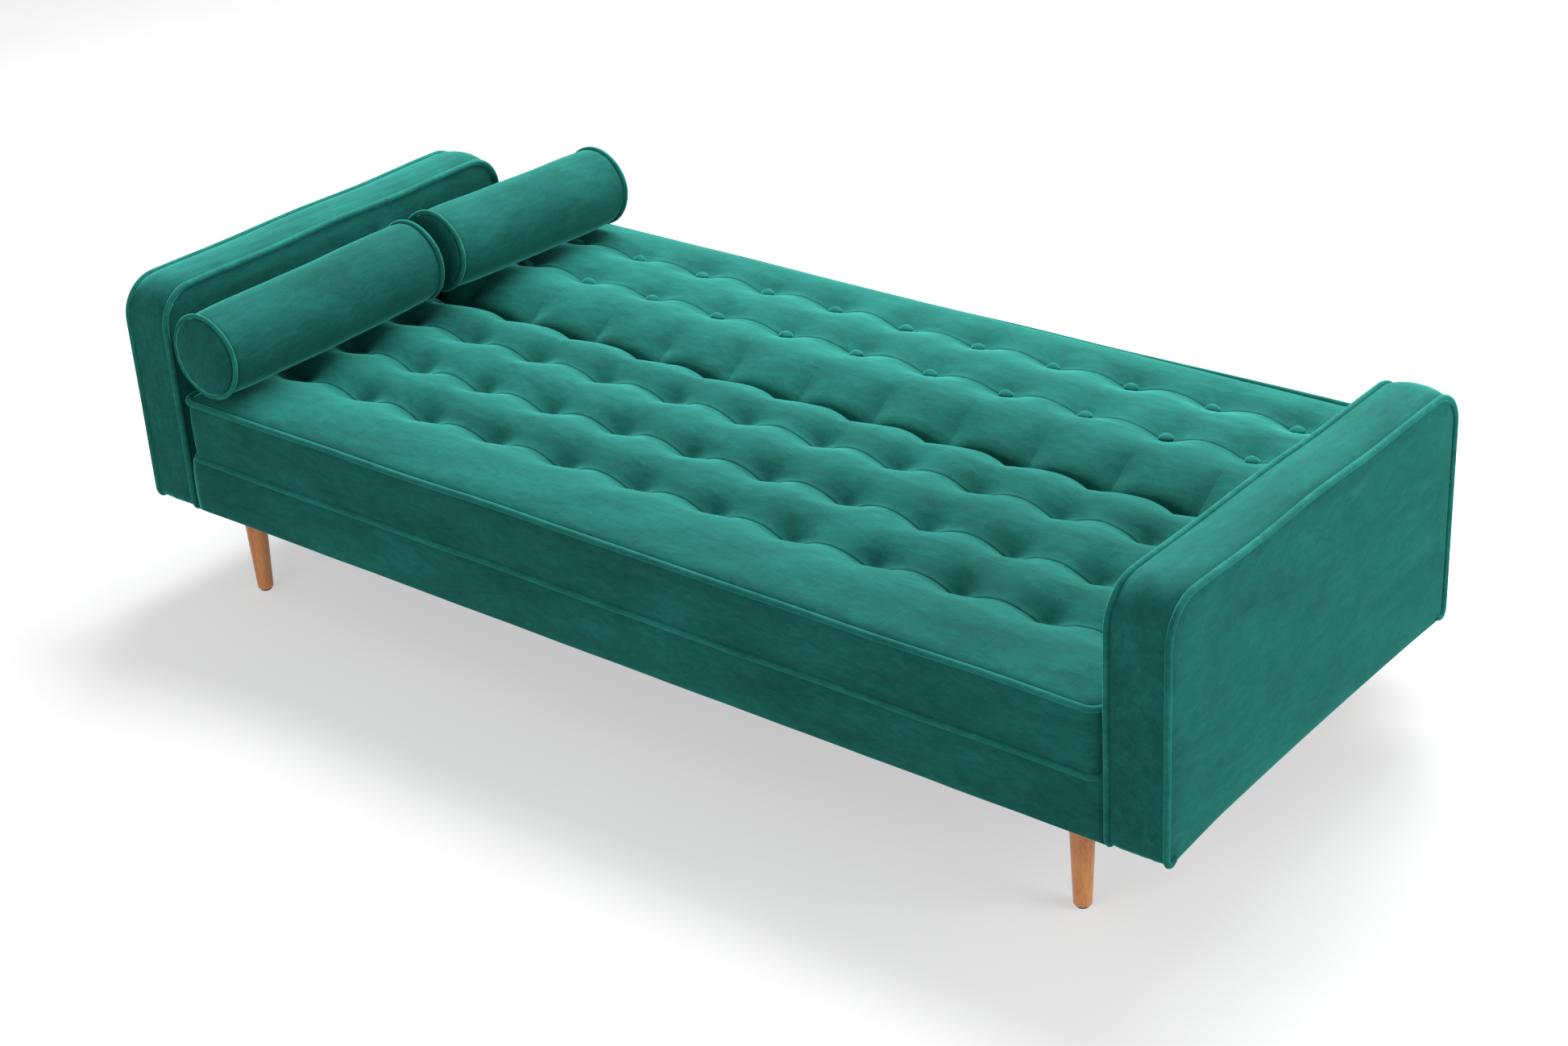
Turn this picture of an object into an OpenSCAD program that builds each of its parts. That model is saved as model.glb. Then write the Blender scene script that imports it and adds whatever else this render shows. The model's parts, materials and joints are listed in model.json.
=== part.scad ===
// Tufted click-clack sofa bed with its backrest folded flat.
// Origin: on the floor, under the middle of the bed. X runs from the left arm to the right arm,
// Y from the front edge of the seat to the far edge of the back, Z up. Millimetres.

/* [Overall] */
// Clear length between the two arms
inner_length = 1824; // [1500:12:2100]
// Depth of the whole bed, from the arm fronts to the far edge of the back
bed_depth = 1008; // [990:1:1060]
// Height of the underside of the base above the floor
leg_height = 158; // [120:1:200]

/* [Arms] */
// Thickness of an arm between its two piped edges
arm_thick = 92; // [80:1:130]
// Depth of an arm, front to rear
arm_depth = 800; // [760:1:840]
// Height of an arm's piped top edge above the floor
arm_top = 553; // [540:1:640]
// Radius of an arm's top corners
arm_top_radius = 62; // [30:1:90]
// Radius of an arm's bottom corners
arm_low_radius = 22; // [15:1:40]

/* [Cushions] */
// Depth of the seat, from its piped front edge to the gutter in front of the back
seat_depth = 598; // [590:1:600]
// Height of the highest point of the seat above the floor
seat_top = 381; // [378:1:382]
// Width of the gutter between the seat and the back
gutter = 6; // [6:1:8]
// Slope of the folded back, falling towards its far edge, in degrees
back_slope = 2.65; // [2:0.05:3]
// Thickness of the back
back_thick = 116; // [110:1:117]
// Radius of the rolled edges along the gutter
roll_radius = 30; // [28:1:34]
// Number of tufting columns along the bed
columns = 12; // [8:1:14]
// Distance of the first seat row of tufts from the front edge
seat_row_start = 191; // [170:1:200]
// Distance between two seat rows of tufts
seat_row_pitch = 137; // [120:1:145]
// Distance of the first back row of tufts from the fold axis
back_row_start = 172; // [150:1:200]
// Distance between the two back rows of tufts
back_row_pitch = 140; // [120:1:160]
// Depth of a seat tuft below the top of the seat
seat_tuft_depth = 43; // [30:1:50]
// Depth of a back tuft below the top of the back
back_tuft_depth = 30; // [20:1:40]
// Radius of a covered tufting button
button_radius = 12; // [8:0.5:13]

/* [Piping] */
// Radius of the piping cord on arms and cushions
piping_radius = 5; // [4:0.5:5]

/* [Bolsters] */
// Radius of a bolster's body
bolster_radius = 71.5; // [65:0.5:75]
// Length of the front bolster between its piping rings
front_bolster_length = 488; // [420:1:492]
// Length of the rear bolster between its piping rings
rear_bolster_length = 440; // [420:1:460]

/* [Legs] */
// Radius of a leg at its top
leg_top_radius = 19.5; // [16:0.5:24]
// Radius of a leg at its foot
leg_foot_radius = 13.5; // [11:0.5:15]
// Distance of a leg's axis from the arm fronts and from the rear face of the base
leg_setback = 60; // [60:1:68]
// Distance of a leg's axis from the inner face of the arm
leg_inset = 77; // [65:1:100]

/* [Hinges] */
// Height of the fold axis above the floor
pivot_height = 364; // [362:1:366]
// Radius of the hinge pin
pivot_radius = 5; // [4:0.5:6]
// Radius of the notched quadrant
quadrant_radius = 26; // [24:1:26]

/* [Hidden] */

$fn = 64;
fit = 0.2;                              // clearance between assembled pieces
front_y = -bed_depth / 2;               // plane of the piped front edges
half_inner = inner_length / 2;
base_bottom = leg_height;
rail_bottom = base_bottom + 2;
rail_top = 256;                         // top of the front and middle rails
low_rail_top = 240;                     // top of the rails that lie under the folded back
rail_thick = 25;
base_half = half_inner - 6.6;           // outer face of the side rails
base_rear_y = front_y + arm_depth - 14; // rear face of the base's wrap
wrap_thick = 4;                         // velvet wrap of the base with its wadding
wrap_setback = 4;                       // face of the front wrap behind the piped edges
wrap_return = 20;                       // part of the wrap turned under the rail
wrap_return_thick = 1.8;
front_rail_y = front_y + wrap_setback + wrap_thick + fit;
rear_rail_y = base_rear_y - wrap_thick - fit - rail_thick;
inside_front_y = front_rail_y + rail_thick + fit;
inside_rear_y = rear_rail_y - fit;
inside_half = base_half - rail_thick - fit;
bolt_radius = 4;
bolt_hole = bolt_radius + fit;
twine_hole = 1.7;                       // bore through the foam for a button's twine
far_away = 2000;                        // half size of the blocks used for cutting
seat_rear_y = front_y + seat_depth;
middle_rail_y = seat_rear_y - 2 - rail_thick;
cushion_half = half_inner - 11;         // end faces of the seat and of the back
notch = piping_radius + fit;            // step in a cover's edge that its piping lies in
cloth = 3;                              // cover cloth with its wadding
tuft_pitch = inner_length / columns;
pivot_y = seat_rear_y + gutter / 2;
back_top = 380 - pivot_height;          // top of the back above the fold axis
back_bottom = back_top - back_thick;
back_near = gutter / 2;                 // nearest edge of the back from the fold axis
back_far = bed_depth - seat_depth - back_near;
hinge_inner_x = cushion_half + 0.6;     // inner face of the moving arm
hinge_arm_thick = 3.5;
plate_inner_x = hinge_inner_x + hinge_arm_thick + 0.4;
plate_thick = 4;
pawl_pin = [pivot_y - 40, pivot_height - 44];
bolster_cord_radius = 4;
bolster_ring_radius = bolster_radius + bolster_cord_radius;

// Repeats its children for the left and the right side
module both_sides() {
    children();
    mirror([1, 0, 0]) children();
}

// Places its children on one side: -1 left, 1 right
module on_side(side) {
    if (side > 0) children();
    else mirror([1, 0, 0]) children();
}

// Extrudes a YZ outline along X from x0 to x1
module along_x(x0, x1) {
    translate([x0, 0, 0]) rotate([90, 0, 90]) linear_extrude(height = x1 - x0) children();
}

// Places back parts: children are drawn with the fold axis as origin and the back level
module in_back() {
    translate([0, pivot_y, pivot_height]) rotate([-back_slope, 0, 0]) children();
}

// Flat rectangle from a to b with corner radii r_low at the low corners and r_high at the high ones
module rounded_rect(a, b, r_low, r_high) {
    translate([a.x, a.y + r_low]) square([b.x - a.x, b.y - a.y - r_low - r_high]);
    translate([a.x + r_low, a.y]) square([b.x - a.x - 2 * r_low, r_low]);
    translate([a.x + r_high, b.y - r_high]) square([b.x - a.x - 2 * r_high, r_high]);
    for (x = [a.x + r_low, b.x - r_low]) translate([x, a.y + r_low]) circle(r = r_low);
    for (x = [a.x + r_high, b.x - r_high]) translate([x, b.y - r_high]) circle(r = r_high);
}

// Straight cord or round bore along one axis
module cord_x(x0, x1, y, z, r) {
    translate([x0, y, z]) rotate([0, 90, 0]) cylinder(h = x1 - x0, r = r);
}
module cord_y(y0, y1, x, z, r) {
    translate([x, y0, z]) rotate([-90, 0, 0]) cylinder(h = y1 - y0, r = r);
}
module cord_z(z0, z1, x, y, r) {
    translate([x, y, z0]) cylinder(h = z1 - z0, r = r);
}

// Quarter bend of a cord about Z, starting at angle a around centre c
module bend_z(c, a, bend, r) {
    translate(c) rotate([0, 0, a]) rotate_extrude(angle = 90) translate([bend, 0]) circle(r = r);
}

// Quarter bend of a cord about X, starting at angle a in the YZ plane
module bend_x(c, a, bend, r) {
    translate(c) rotate([90, 0, 90]) rotate([0, 0, a])
        rotate_extrude(angle = 90) translate([bend, 0]) circle(r = r);
}

// ---------- base ----------

module bar(a, b) {
    translate(a) cube(b - a);
}

module base_front_rail() {
    color("burlywood")
        bar([-base_half, front_rail_y, rail_bottom], [base_half, front_rail_y + rail_thick, rail_top]);
}

module base_middle_rail() {
    color("burlywood")
        bar([-inside_half, middle_rail_y, rail_bottom], [inside_half, middle_rail_y + rail_thick, rail_top]);
}

module base_rear_rail() {
    color("burlywood")
        bar([-base_half, rear_rail_y, rail_bottom], [base_half, rear_rail_y + rail_thick, low_rail_top]);
}

arm_bolt_y = [front_y + 110, front_y + 420, front_y + 720];
arm_bolt_z = 222;
hinge_bolt_y = [pivot_y - 40, pivot_y + 32];
hinge_bolt_z = 200;

module base_side_rail() {
    difference() {
        bar([base_half - rail_thick, inside_front_y, rail_bottom], [base_half, inside_rear_y, low_rail_top]);
        for (y = arm_bolt_y) cord_x(base_half - 40, base_half + 10, y, arm_bolt_z, bolt_hole);
        for (y = hinge_bolt_y) cord_x(base_half - 40, base_half + 10, y, hinge_bolt_z, bolt_hole);
    }
}

module base_side_rail_left() {
    color("burlywood") on_side(-1) base_side_rail();
}

module base_side_rail_right() {
    color("burlywood") on_side(1) base_side_rail();
}

leg_x = half_inner - leg_inset;
leg_ys = [front_y + leg_setback, base_rear_y - leg_setback];
block_size = [86, 64, 46];
screw_offset = 22;                      // screws of a leg plate from the leg's axis, both ways
screw_radius = 2.2;
screw_length = 16;

// One block in each corner of the base, bored for the leg's hanger bolt and its plate's screws
module base_corner_blocks() {
    color("tan") both_sides() for (i = [0, 1]) {
        y0 = (i == 0) ? inside_front_y : inside_rear_y - block_size.y;
        difference() {
            translate([inside_half - block_size.x, y0, rail_bottom]) cube(block_size);
            cord_z(rail_bottom - 5, rail_bottom + 36, leg_x, leg_ys[i], bolt_hole);
            for (dx = [-screw_offset, screw_offset], dy = [-screw_offset, screw_offset])
                cord_z(rail_bottom - 5, rail_bottom + screw_length + 1, leg_x + dx, leg_ys[i] + dy,
                       screw_radius + fit);
        }
    }
}

batten = [20, 20];
slat_thick = 12;
slat_width = 70;
slat_count = 9;

// Ledges for the slats on the inner faces of the front and middle rails
module slat_battens() {
    near = inside_front_y;
    far = middle_rail_y - fit;
    half = inside_half - block_size.x - 1;
    color("tan") {
        bar([-half, near, rail_top - slat_thick - batten.y], [half, near + batten.x, rail_top - slat_thick]);
        bar([-half, far - batten.x, rail_top - slat_thick - batten.y], [half, far, rail_top - slat_thick]);
    }
}

module seat_slats() {
    near = inside_front_y + fit;
    far = middle_rail_y - 2 * fit;
    pitch = (2 * base_half - 2 * rail_thick - 2 * slat_width) / (slat_count - 1);
    color("wheat") for (i = [0 : slat_count - 1]) {
        x = (i - (slat_count - 1) / 2) * pitch;
        bar([x - slat_width / 2, near, rail_top - slat_thick + fit], [x + slat_width / 2, far, rail_top]);
    }
}

// Velvet wrap: a face and a short return under the rail
module base_front_cover() {
    color("teal") union() {
        near = front_y + wrap_setback;
        bar([-base_half, near, base_bottom], [base_half, near + wrap_thick, rail_top]);
        bar([-base_half, near + wrap_thick, base_bottom],
            [base_half, near + wrap_thick + wrap_return, base_bottom + wrap_return_thick]);
    }
}

module base_rear_cover() {
    color("teal") union() {
        near = base_rear_y - wrap_thick;
        bar([-base_half, near, base_bottom], [base_half, base_rear_y, low_rail_top]);
        bar([-base_half, near - wrap_return, base_bottom],
            [base_half, near, base_bottom + wrap_return_thick]);
    }
}

// Thin cloth stapled under the base, cut out round the leg plates
module dust_cloth() {
    window = plate_size.x / 2 + 1;
    color("black") difference() {
        bar([-base_half + 4, front_y + 16, base_bottom - 1],
            [base_half - 4, base_rear_y - 12, base_bottom - 0.1]);
        both_sides() for (y = leg_ys)
            bar([leg_x - window, y - window, base_bottom - 5], [leg_x + window, y + window, base_bottom + 5]);
    }
}

// ---------- legs ----------

plate_size = [64, 64, 3];
plate_low = rail_bottom - 0.1 - plate_size.z;
glide_height = 4;
foot_bevel = 3;
hanger_in_leg = 34;
hanger_in_block = 38;

module leg(side, i) {
    color("peru") on_side(side) translate([leg_x, leg_ys[i], 0]) difference() {
        translate([0, 0, glide_height + 0.1]) union() {
            cylinder(h = foot_bevel, r1 = leg_foot_radius - 2, r2 = leg_foot_radius);
            translate([0, 0, foot_bevel]) cylinder(
                h = plate_low - glide_height - foot_bevel - 0.3, r1 = leg_foot_radius, r2 = leg_top_radius);
        }
        translate([0, 0, plate_low - hanger_in_leg - 2]) cylinder(h = hanger_in_leg + 6, r = bolt_hole);
    }
}

module leg_front_left() {
    leg(-1, 0);
}
module leg_front_right() {
    leg(1, 0);
}
module leg_rear_left() {
    leg(-1, 1);
}
module leg_rear_right() {
    leg(1, 1);
}

// Places its children at the foot of each leg
module at_legs() {
    both_sides() for (y = leg_ys) translate([leg_x, y, 0]) children();
}

module leg_glides() {
    color("dimgray") at_legs() union() {
        cylinder(h = 1.5, r1 = 8.5, r2 = 10);
        translate([0, 0, 1.5]) cylinder(h = glide_height - 1.5, r = 10);
    }
}

module leg_plates() {
    color("silver") at_legs() difference() {
        translate([-plate_size.x / 2, -plate_size.y / 2, plate_low]) cube(plate_size);
        translate([0, 0, plate_low - 1]) cylinder(h = plate_size.z + 2, r = bolt_hole);
        for (x = [-screw_offset, screw_offset], y = [-screw_offset, screw_offset])
            translate([x, y, plate_low - 1]) cylinder(h = plate_size.z + 2, r = screw_radius + fit);
    }
}

module leg_plate_screws() {
    color("gray") at_legs() for (x = [-screw_offset, screw_offset], y = [-screw_offset, screw_offset])
        translate([x, y, plate_low - 2.1]) {
            cylinder(h = 2, r1 = 3, r2 = 4);
            cylinder(h = 2.1 + plate_size.z + screw_length, r = screw_radius);
        }
}

module leg_hanger_bolts() {
    color("gray") at_legs() translate([0, 0, plate_low - hanger_in_leg])
        cylinder(h = hanger_in_leg + hanger_in_block, r = bolt_radius);
}

// ---------- arms ----------

arm_in = half_inner;
arm_out = half_inner + arm_thick;
arm_y = [front_y, front_y + arm_depth];
arm_low = base_bottom + 2;
arm_pad = 9;
frame_bar = 44;
frame_foot = 70;                        // height of the frame's lowest bar
arm_bays = 5;                           // openings in the ladder frame

// Outline of an arm seen from its end, reduced all round by inset
module arm_outline(inset) {
    rounded_rect([arm_y[0] + inset, arm_low + inset], [arm_y[1] - inset, arm_top - inset],
                 max(arm_low_radius - inset, 2), arm_top_radius - inset);
}

// Wooden ladder frame of one arm
module arm_frame(side) {
    inner = [arm_y[0] + arm_pad + frame_bar, arm_low + arm_pad + frame_foot];
    outer = [arm_y[1] - arm_pad - frame_bar, arm_top - arm_pad - frame_bar];
    bay = (outer.x - inner.x - (arm_bays - 1) * frame_bar) / arm_bays;
    color("burlywood") on_side(side) difference() {
        along_x(arm_in + arm_pad, arm_out - arm_pad) arm_outline(arm_pad + fit);
        for (i = [0 : arm_bays - 1])
            along_x(arm_in, arm_out) translate([inner.x + i * (bay + frame_bar), inner.y])
                square([bay, outer.y - inner.y]);
        for (y = arm_bolt_y) cord_x(arm_in, arm_in + 50, y, arm_bolt_z, bolt_hole);
    }
}

module arm_frame_left() {
    arm_frame(-1);
}
module arm_frame_right() {
    arm_frame(1);
}

// Padded cover: boxing strip all round and a panel on each side, stepped back where the piping lies
module arm_cover(side) {
    hem = [arm_depth - 2 * arm_low_radius - 2 * fit, 2 * notch];
    color("teal") on_side(side) difference() {
        union() {
            along_x(arm_in + notch, arm_out - notch) arm_outline(0);
            along_x(arm_in, arm_out) arm_outline(notch);
            along_x(arm_in, arm_out) translate([arm_y[0] + arm_low_radius + fit, arm_low]) square(hem);
        }
        along_x(arm_in + arm_pad - fit, arm_out - arm_pad + fit) arm_outline(arm_pad);
        for (y = arm_bolt_y) cord_x(arm_in - 5, arm_in + 20, y, arm_bolt_z, bolt_hole + fit);
    }
}

module arm_cover_left() {
    arm_cover(-1);
}
module arm_cover_right() {
    arm_cover(1);
}

// Cord over an arm's outline in the plane x, its ends turned in under the arm
module arm_cord(x) {
    y0 = arm_y[0];
    y1 = arm_y[1];
    t = arm_top_radius;
    b = arm_low_radius;
    cord_y(y0 + t, y1 - t, x, arm_top, piping_radius);
    cord_z(arm_low + b, arm_top - t, x, y0, piping_radius);
    cord_z(arm_low + b, arm_top - t, x, y1, piping_radius);
    bend_x([x, y1 - t, arm_top - t], 0, t, piping_radius);
    bend_x([x, y0 + t, arm_top - t], 90, t, piping_radius);
    bend_x([x, y0 + b, arm_low + b], 180, b, piping_radius);
    bend_x([x, y1 - b, arm_low + b], 270, b, piping_radius);
}

module arm_piping(side) {
    color("darkcyan") on_side(side) {
        arm_cord(arm_in);
        arm_cord(arm_out);
    }
}

module arm_piping_left() {
    arm_piping(-1);
}
module arm_piping_right() {
    arm_piping(1);
}

module arm_bolts() {
    color("gray") both_sides() for (y = arm_bolt_y) {
        cord_x(base_half - rail_thick - 5, base_half - rail_thick - 0.1, y, arm_bolt_z, 8);
        cord_x(base_half - rail_thick - 1, arm_in + 42, y, arm_bolt_z, bolt_radius);
    }
}

module arm_packing_washers() {
    color("silver") both_sides() for (y = arm_bolt_y) difference() {
        cord_x(base_half + 0.1, arm_in - 0.1, y, arm_bolt_z, 16);
        cord_x(base_half - 5, arm_in + 5, y, arm_bolt_z, bolt_hole + fit);
    }
}

// ---------- seat ----------

piping_top = 366;                       // height of the seat's upper cord
piping_low = 261;                       // height of the seat's lower cord
corner = 26;                            // plan radius of the seat's front corners
cut_low = 200;                          // heights between which the seat is cut out
cut_high = 500;
seat_rows = [for (i = [0 : 2]) front_y + seat_row_start + i * seat_row_pitch];
tuft_xs = [for (i = [0 : columns - 1]) (i + 0.5) * tuft_pitch - half_inner];
button_recess = button_radius + 3;

// Side profile of the seat: flat below, crowned above, rolled down to the gutter at the rear
module seat_profile(inset) {
    top = seat_top - inset;
    rear = seat_rear_y - inset;
    r = roll_radius - inset;
    roll_z = top - 15 - r;
    front = front_y + inset;
    low = rail_top + 1 + inset;
    union() {
        polygon([[front, low], [rear, low], [rear, roll_z], [rear - r, roll_z + r],
                 [rear - r - 40, top - 3], [rear - r - 70, top], [front + 90, top],
                 [front + 40, top - 4], [front, piping_top + 1 - inset]]);
        translate([rear - r, roll_z]) circle(r = r);
    }
}

// Plan of the seat with rounded front corners
module seat_plan(inset) {
    half = cushion_half - inset;
    front = front_y + inset;
    r = corner - inset;
    union() {
        translate([-half, front + r]) square([2 * half, seat_rear_y - front - r + 10]);
        translate([-half + r, front]) square([2 * half - 2 * r, r + 1]);
        for (x = [-half + r, half - r]) translate([x, front + r]) circle(r = r);
    }
}

// Slab of the seat's plan between two heights
module seat_slab(inset, z0, z1) {
    translate([0, 0, z0]) linear_extrude(height = z1 - z0) seat_plan(inset);
}

module seat_body(inset) {
    intersection() {
        along_x(-cushion_half + inset, cushion_half - inset) seat_profile(inset);
        seat_slab(inset, cut_low, cut_high);
    }
}

// Wells for the tufting buttons
module seat_wells(r, depth) {
    for (x = tuft_xs, y = seat_rows) cord_z(seat_top - depth, seat_top + 20, x, y, r);
}

module seat_foam() {
    color("khaki") difference() {
        seat_body(cloth + notch);
        seat_wells(button_recess + cloth + fit, seat_tuft_depth + cloth + fit);
        for (x = tuft_xs, y = seat_rows) cord_z(cut_low, seat_top, x, y, twine_hole);
    }
}

module seat_cover() {
    color("teal") difference() {
        union() {
            intersection() {
                seat_body(0);
                seat_slab(0, piping_low + notch, piping_top - notch);
            }
            intersection() {
                seat_body(0);
                seat_slab(notch, cut_low, cut_high);
            }
        }
        difference() {
            seat_body(cloth + notch - fit);
            seat_wells(button_recess + cloth, seat_tuft_depth + cloth);
        }
        seat_wells(button_recess, seat_tuft_depth);
        for (x = tuft_xs, y = seat_rows) cord_z(cut_low, seat_top, x, y, twine_hole);
    }
}

// Cord along the front, round the front corners and back along the ends
module seat_cord(z) {
    end_y = pivot_y - 64;
    cord_x(-cushion_half + corner, cushion_half - corner, front_y, z, piping_radius);
    for (x = [-cushion_half, cushion_half]) cord_y(front_y + corner, end_y, x, z, piping_radius);
    bend_z([cushion_half - corner, front_y + corner, z], 270, corner, piping_radius);
    bend_z([-cushion_half + corner, front_y + corner, z], 180, corner, piping_radius);
}

module seat_piping() {
    color("darkcyan") {
        seat_cord(piping_top);
        seat_cord(piping_low);
    }
}

// Covered button with its twine going down through the foam
module button(twine) {
    rise = 6;
    dome = (button_radius * button_radius + rise * rise) / (2 * rise);
    union() {
        intersection() {
            translate([0, 0, rise + 1 - dome]) sphere(r = dome);
            translate([0, 0, 0.5]) cylinder(h = 20, r = button_radius);
        }
        translate([0, 0, -twine]) cylinder(h = twine + 1, r = 1.5);
    }
}

module seat_buttons() {
    z = seat_top - seat_tuft_depth;
    color("mediumseagreen") for (x = tuft_xs, y = seat_rows)
        translate([x, y, z]) button(z - rail_top - 8);
}

// ---------- back, drawn level with the fold axis as origin ----------

back_rows = [back_row_start, back_row_start + back_row_pitch];
back_board = 6;                         // thickness of the outer panel
frame_low = back_bottom + back_board + fit;
frame_top = frame_low + 34;
back_cord_z = back_top - 1.2;           // a little low, clear of the bolster that slides over it

// Side profile of the back: rolled at the gutter, square where the piping lies
module back_profile(inset) {
    near = back_near + inset;
    far = back_far - inset;
    top = back_top - inset;
    low = frame_low + inset;
    r = roll_radius - inset;
    union() {
        translate([near, low]) square([r, top - r - low]);
        translate([near + r, low]) square([far - near - r, top - low]);
        translate([near + r, top - r]) circle(r = r);
    }
}

module back_body(inset) {
    along_x(-cushion_half + inset, cushion_half - inset) back_profile(inset);
}

// Wells for the tufting buttons of the back
module back_wells(r, depth) {
    for (x = tuft_xs, y = back_rows) cord_z(back_top - depth, back_top + 20, x, y, r);
}

hinge_back_bolt_y = [110, 190];
hinge_back_bolt_z = -74;

// Wooden ladder frame in the lower part of the back
module back_frame() {
    half = cushion_half - cloth - fit;
    near = back_near + cloth + notch + 1;
    far = back_far - cloth - notch - 1;
    bar_width = 40;
    post_count = 12;
    post_pitch = (2 * half - bar_width) / (post_count - 1);
    color("burlywood") in_back() difference() {
        union() {
            bar([-half, near, frame_low + cloth + fit], [half, near + bar_width, frame_top]);
            bar([-half, far - bar_width, frame_low + cloth + fit], [half, far, frame_top]);
            for (i = [0 : post_count - 1])
                bar([-half + i * post_pitch, near, frame_low + cloth + fit],
                    [-half + i * post_pitch + bar_width, far, frame_top]);
        }
        both_sides() for (y = hinge_back_bolt_y)
            cord_x(half - 60, half + 10, y, hinge_back_bolt_z, bolt_hole);
    }
}

module back_foam() {
    inset = cloth + notch;
    color("khaki") in_back() difference() {
        intersection() {
            back_body(inset);
            bar([-far_away, -far_away, frame_top + fit], [far_away, far_away, far_away]);
        }
        back_wells(button_recess + cloth + fit, back_tuft_depth + cloth + fit);
        for (x = tuft_xs, y = back_rows) cord_z(frame_top, back_top, x, y, twine_hole);
    }
}

module back_cover() {
    inset = cloth + notch - fit;
    color("teal") in_back() difference() {
        union() {
            intersection() {
                back_body(0);
                bar([-far_away, -far_away, -far_away], [far_away, far_away, back_cord_z - notch]);
            }
            intersection() {
                back_body(0);
                bar([-cushion_half + notch, -far_away, -far_away],
                    [cushion_half - notch, back_far - notch, far_away]);
            }
        }
        difference() {
            back_body(inset);
            back_wells(button_recess + cloth, back_tuft_depth + cloth);
        }
        bar([-cushion_half + cloth, back_near + cloth + notch, -far_away],
            [cushion_half - cloth, back_far - cloth - notch, frame_top + fit / 2]);
        back_wells(button_recess, back_tuft_depth);
        for (x = tuft_xs, y = back_rows) cord_z(frame_top, back_top, x, y, twine_hole);
        both_sides() for (y = hinge_back_bolt_y)
            cord_x(cushion_half - 20, cushion_half + 10, y, hinge_back_bolt_z, bolt_hole + fit);
    }
}

// Cord along the far top edge of the back
module back_piping() {
    color("darkcyan") in_back()
        cord_x(-cushion_half + 6, cushion_half - 6, back_far, back_cord_z, piping_radius);
}

module back_buttons() {
    z = back_top - back_tuft_depth;
    color("mediumseagreen") in_back() for (x = tuft_xs, y = back_rows)
        translate([x, y, z]) button(z - frame_top - 2);
}

// Upholstered board that closes the outside of the back
module back_outer_panel() {
    half = cushion_half - 2;
    color("teal") in_back()
        bar([-half, back_near + 2, back_bottom], [half, back_far - 2, back_bottom + back_board]);
}

// ---------- click-clack hinges ----------

notch_angles = [270, 230, 192, 186];     // stops of the quadrant, from bed to release
notch_size = [12, 11];
plate_foot = [pivot_y - 62, 174];
plate_foot_size = [122, 54];
plate_neck = [13, 34];                  // half widths of the plate's neck at the axis and at its foot
pin_boss = 9;
pawl_pin_radius = 3;
pivot_clearance = 0.03;
swing_clearance = 0.06;                 // of the moving parts on their pins
arm_bar_low = -90;                      // edges of the bar bolted to the back
arm_bar_high = -58;
arm_bar_end = 212;

// Fixed plate: a foot bolted to the side rail and a neck up to the fold axis
module hinge_plate(side) {
    color("silver") on_side(side) difference() {
        along_x(plate_inner_x, plate_inner_x + plate_thick) union() {
            translate(plate_foot) square(plate_foot_size);
            polygon([
                [plate_foot.x, plate_foot.y + 46],
                [pivot_y + plate_neck[1], plate_foot.y + 46],
                [pivot_y + plate_neck[0], pivot_height],
                [pivot_y - plate_neck[0], pivot_height],
                [pawl_pin.x - pin_boss, pawl_pin.y],
                [pawl_pin.x - 24, pawl_pin.y - 36]
            ]);
            translate([pivot_y, pivot_height]) circle(r = plate_neck[0]);
            translate(pawl_pin) circle(r = pin_boss);
        }
        cord_x(base_half - 20, half_inner, pivot_y, pivot_height, pivot_radius + pivot_clearance);
        cord_x(base_half - 20, half_inner, pawl_pin.x, pawl_pin.y, pawl_pin_radius + pivot_clearance);
        for (y = hinge_bolt_y) cord_x(base_half - 20, half_inner, y, hinge_bolt_z, bolt_hole);
    }
}

module hinge_plate_left() {
    hinge_plate(-1);
}
module hinge_plate_right() {
    hinge_plate(1);
}

// Moving arm: notched quadrant round the fold axis and a bar bolted to the end of the back
module hinge_arm(side) {
    r = quadrant_radius;
    color("silver") on_side(side) difference() {
        union() {
            along_x(hinge_inner_x, hinge_inner_x + hinge_arm_thick) {
                translate([pivot_y, pivot_height]) intersection() {
                    circle(r = r);
                    polygon([[0, 0], [-40, 14], [-40, -40], [40, -40], [40, 3]]);
                }
                translate([pivot_y, pivot_height]) circle(r = 12);
            }
            in_back() along_x(hinge_inner_x, hinge_inner_x + hinge_arm_thick) {
                polygon([
                    [0, -11],
                    [11, 0],
                    [96, arm_bar_high],
                    [arm_bar_end, arm_bar_high],
                    [arm_bar_end, arm_bar_low],
                    [88, arm_bar_low]
                ]);
                translate([arm_bar_end, (arm_bar_low + arm_bar_high) / 2])
                    circle(r = (arm_bar_high - arm_bar_low) / 2);
            }
        }
        cord_x(cushion_half - 5, half_inner, pivot_y, pivot_height, pivot_radius + swing_clearance);
        for (a = notch_angles) along_x(cushion_half - 5, half_inner)
            translate([pivot_y, pivot_height]) rotate(a)
                translate([r - notch_size.y / 2, -notch_size.y / 2]) square(notch_size);
        in_back() for (y = hinge_back_bolt_y)
            cord_x(cushion_half - 5, half_inner, y, hinge_back_bolt_z, bolt_hole);
    }
}

module hinge_arm_left() {
    hinge_arm(-1);
}
module hinge_arm_right() {
    hinge_arm(1);
}

// Headed pin, riveted into the fixed plate and flush with the moving arm
module hinge_pivot(side) {
    color("dimgray") on_side(side) union() {
        cord_x(hinge_inner_x, half_inner - 1, pivot_y, pivot_height, pivot_radius);
        cord_x(plate_inner_x + plate_thick + 0.1, half_inner - 0.8, pivot_y, pivot_height, 9);
    }
}

module hinge_pivot_left() {
    hinge_pivot(-1);
}
module hinge_pivot_right() {
    hinge_pivot(1);
}

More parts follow.
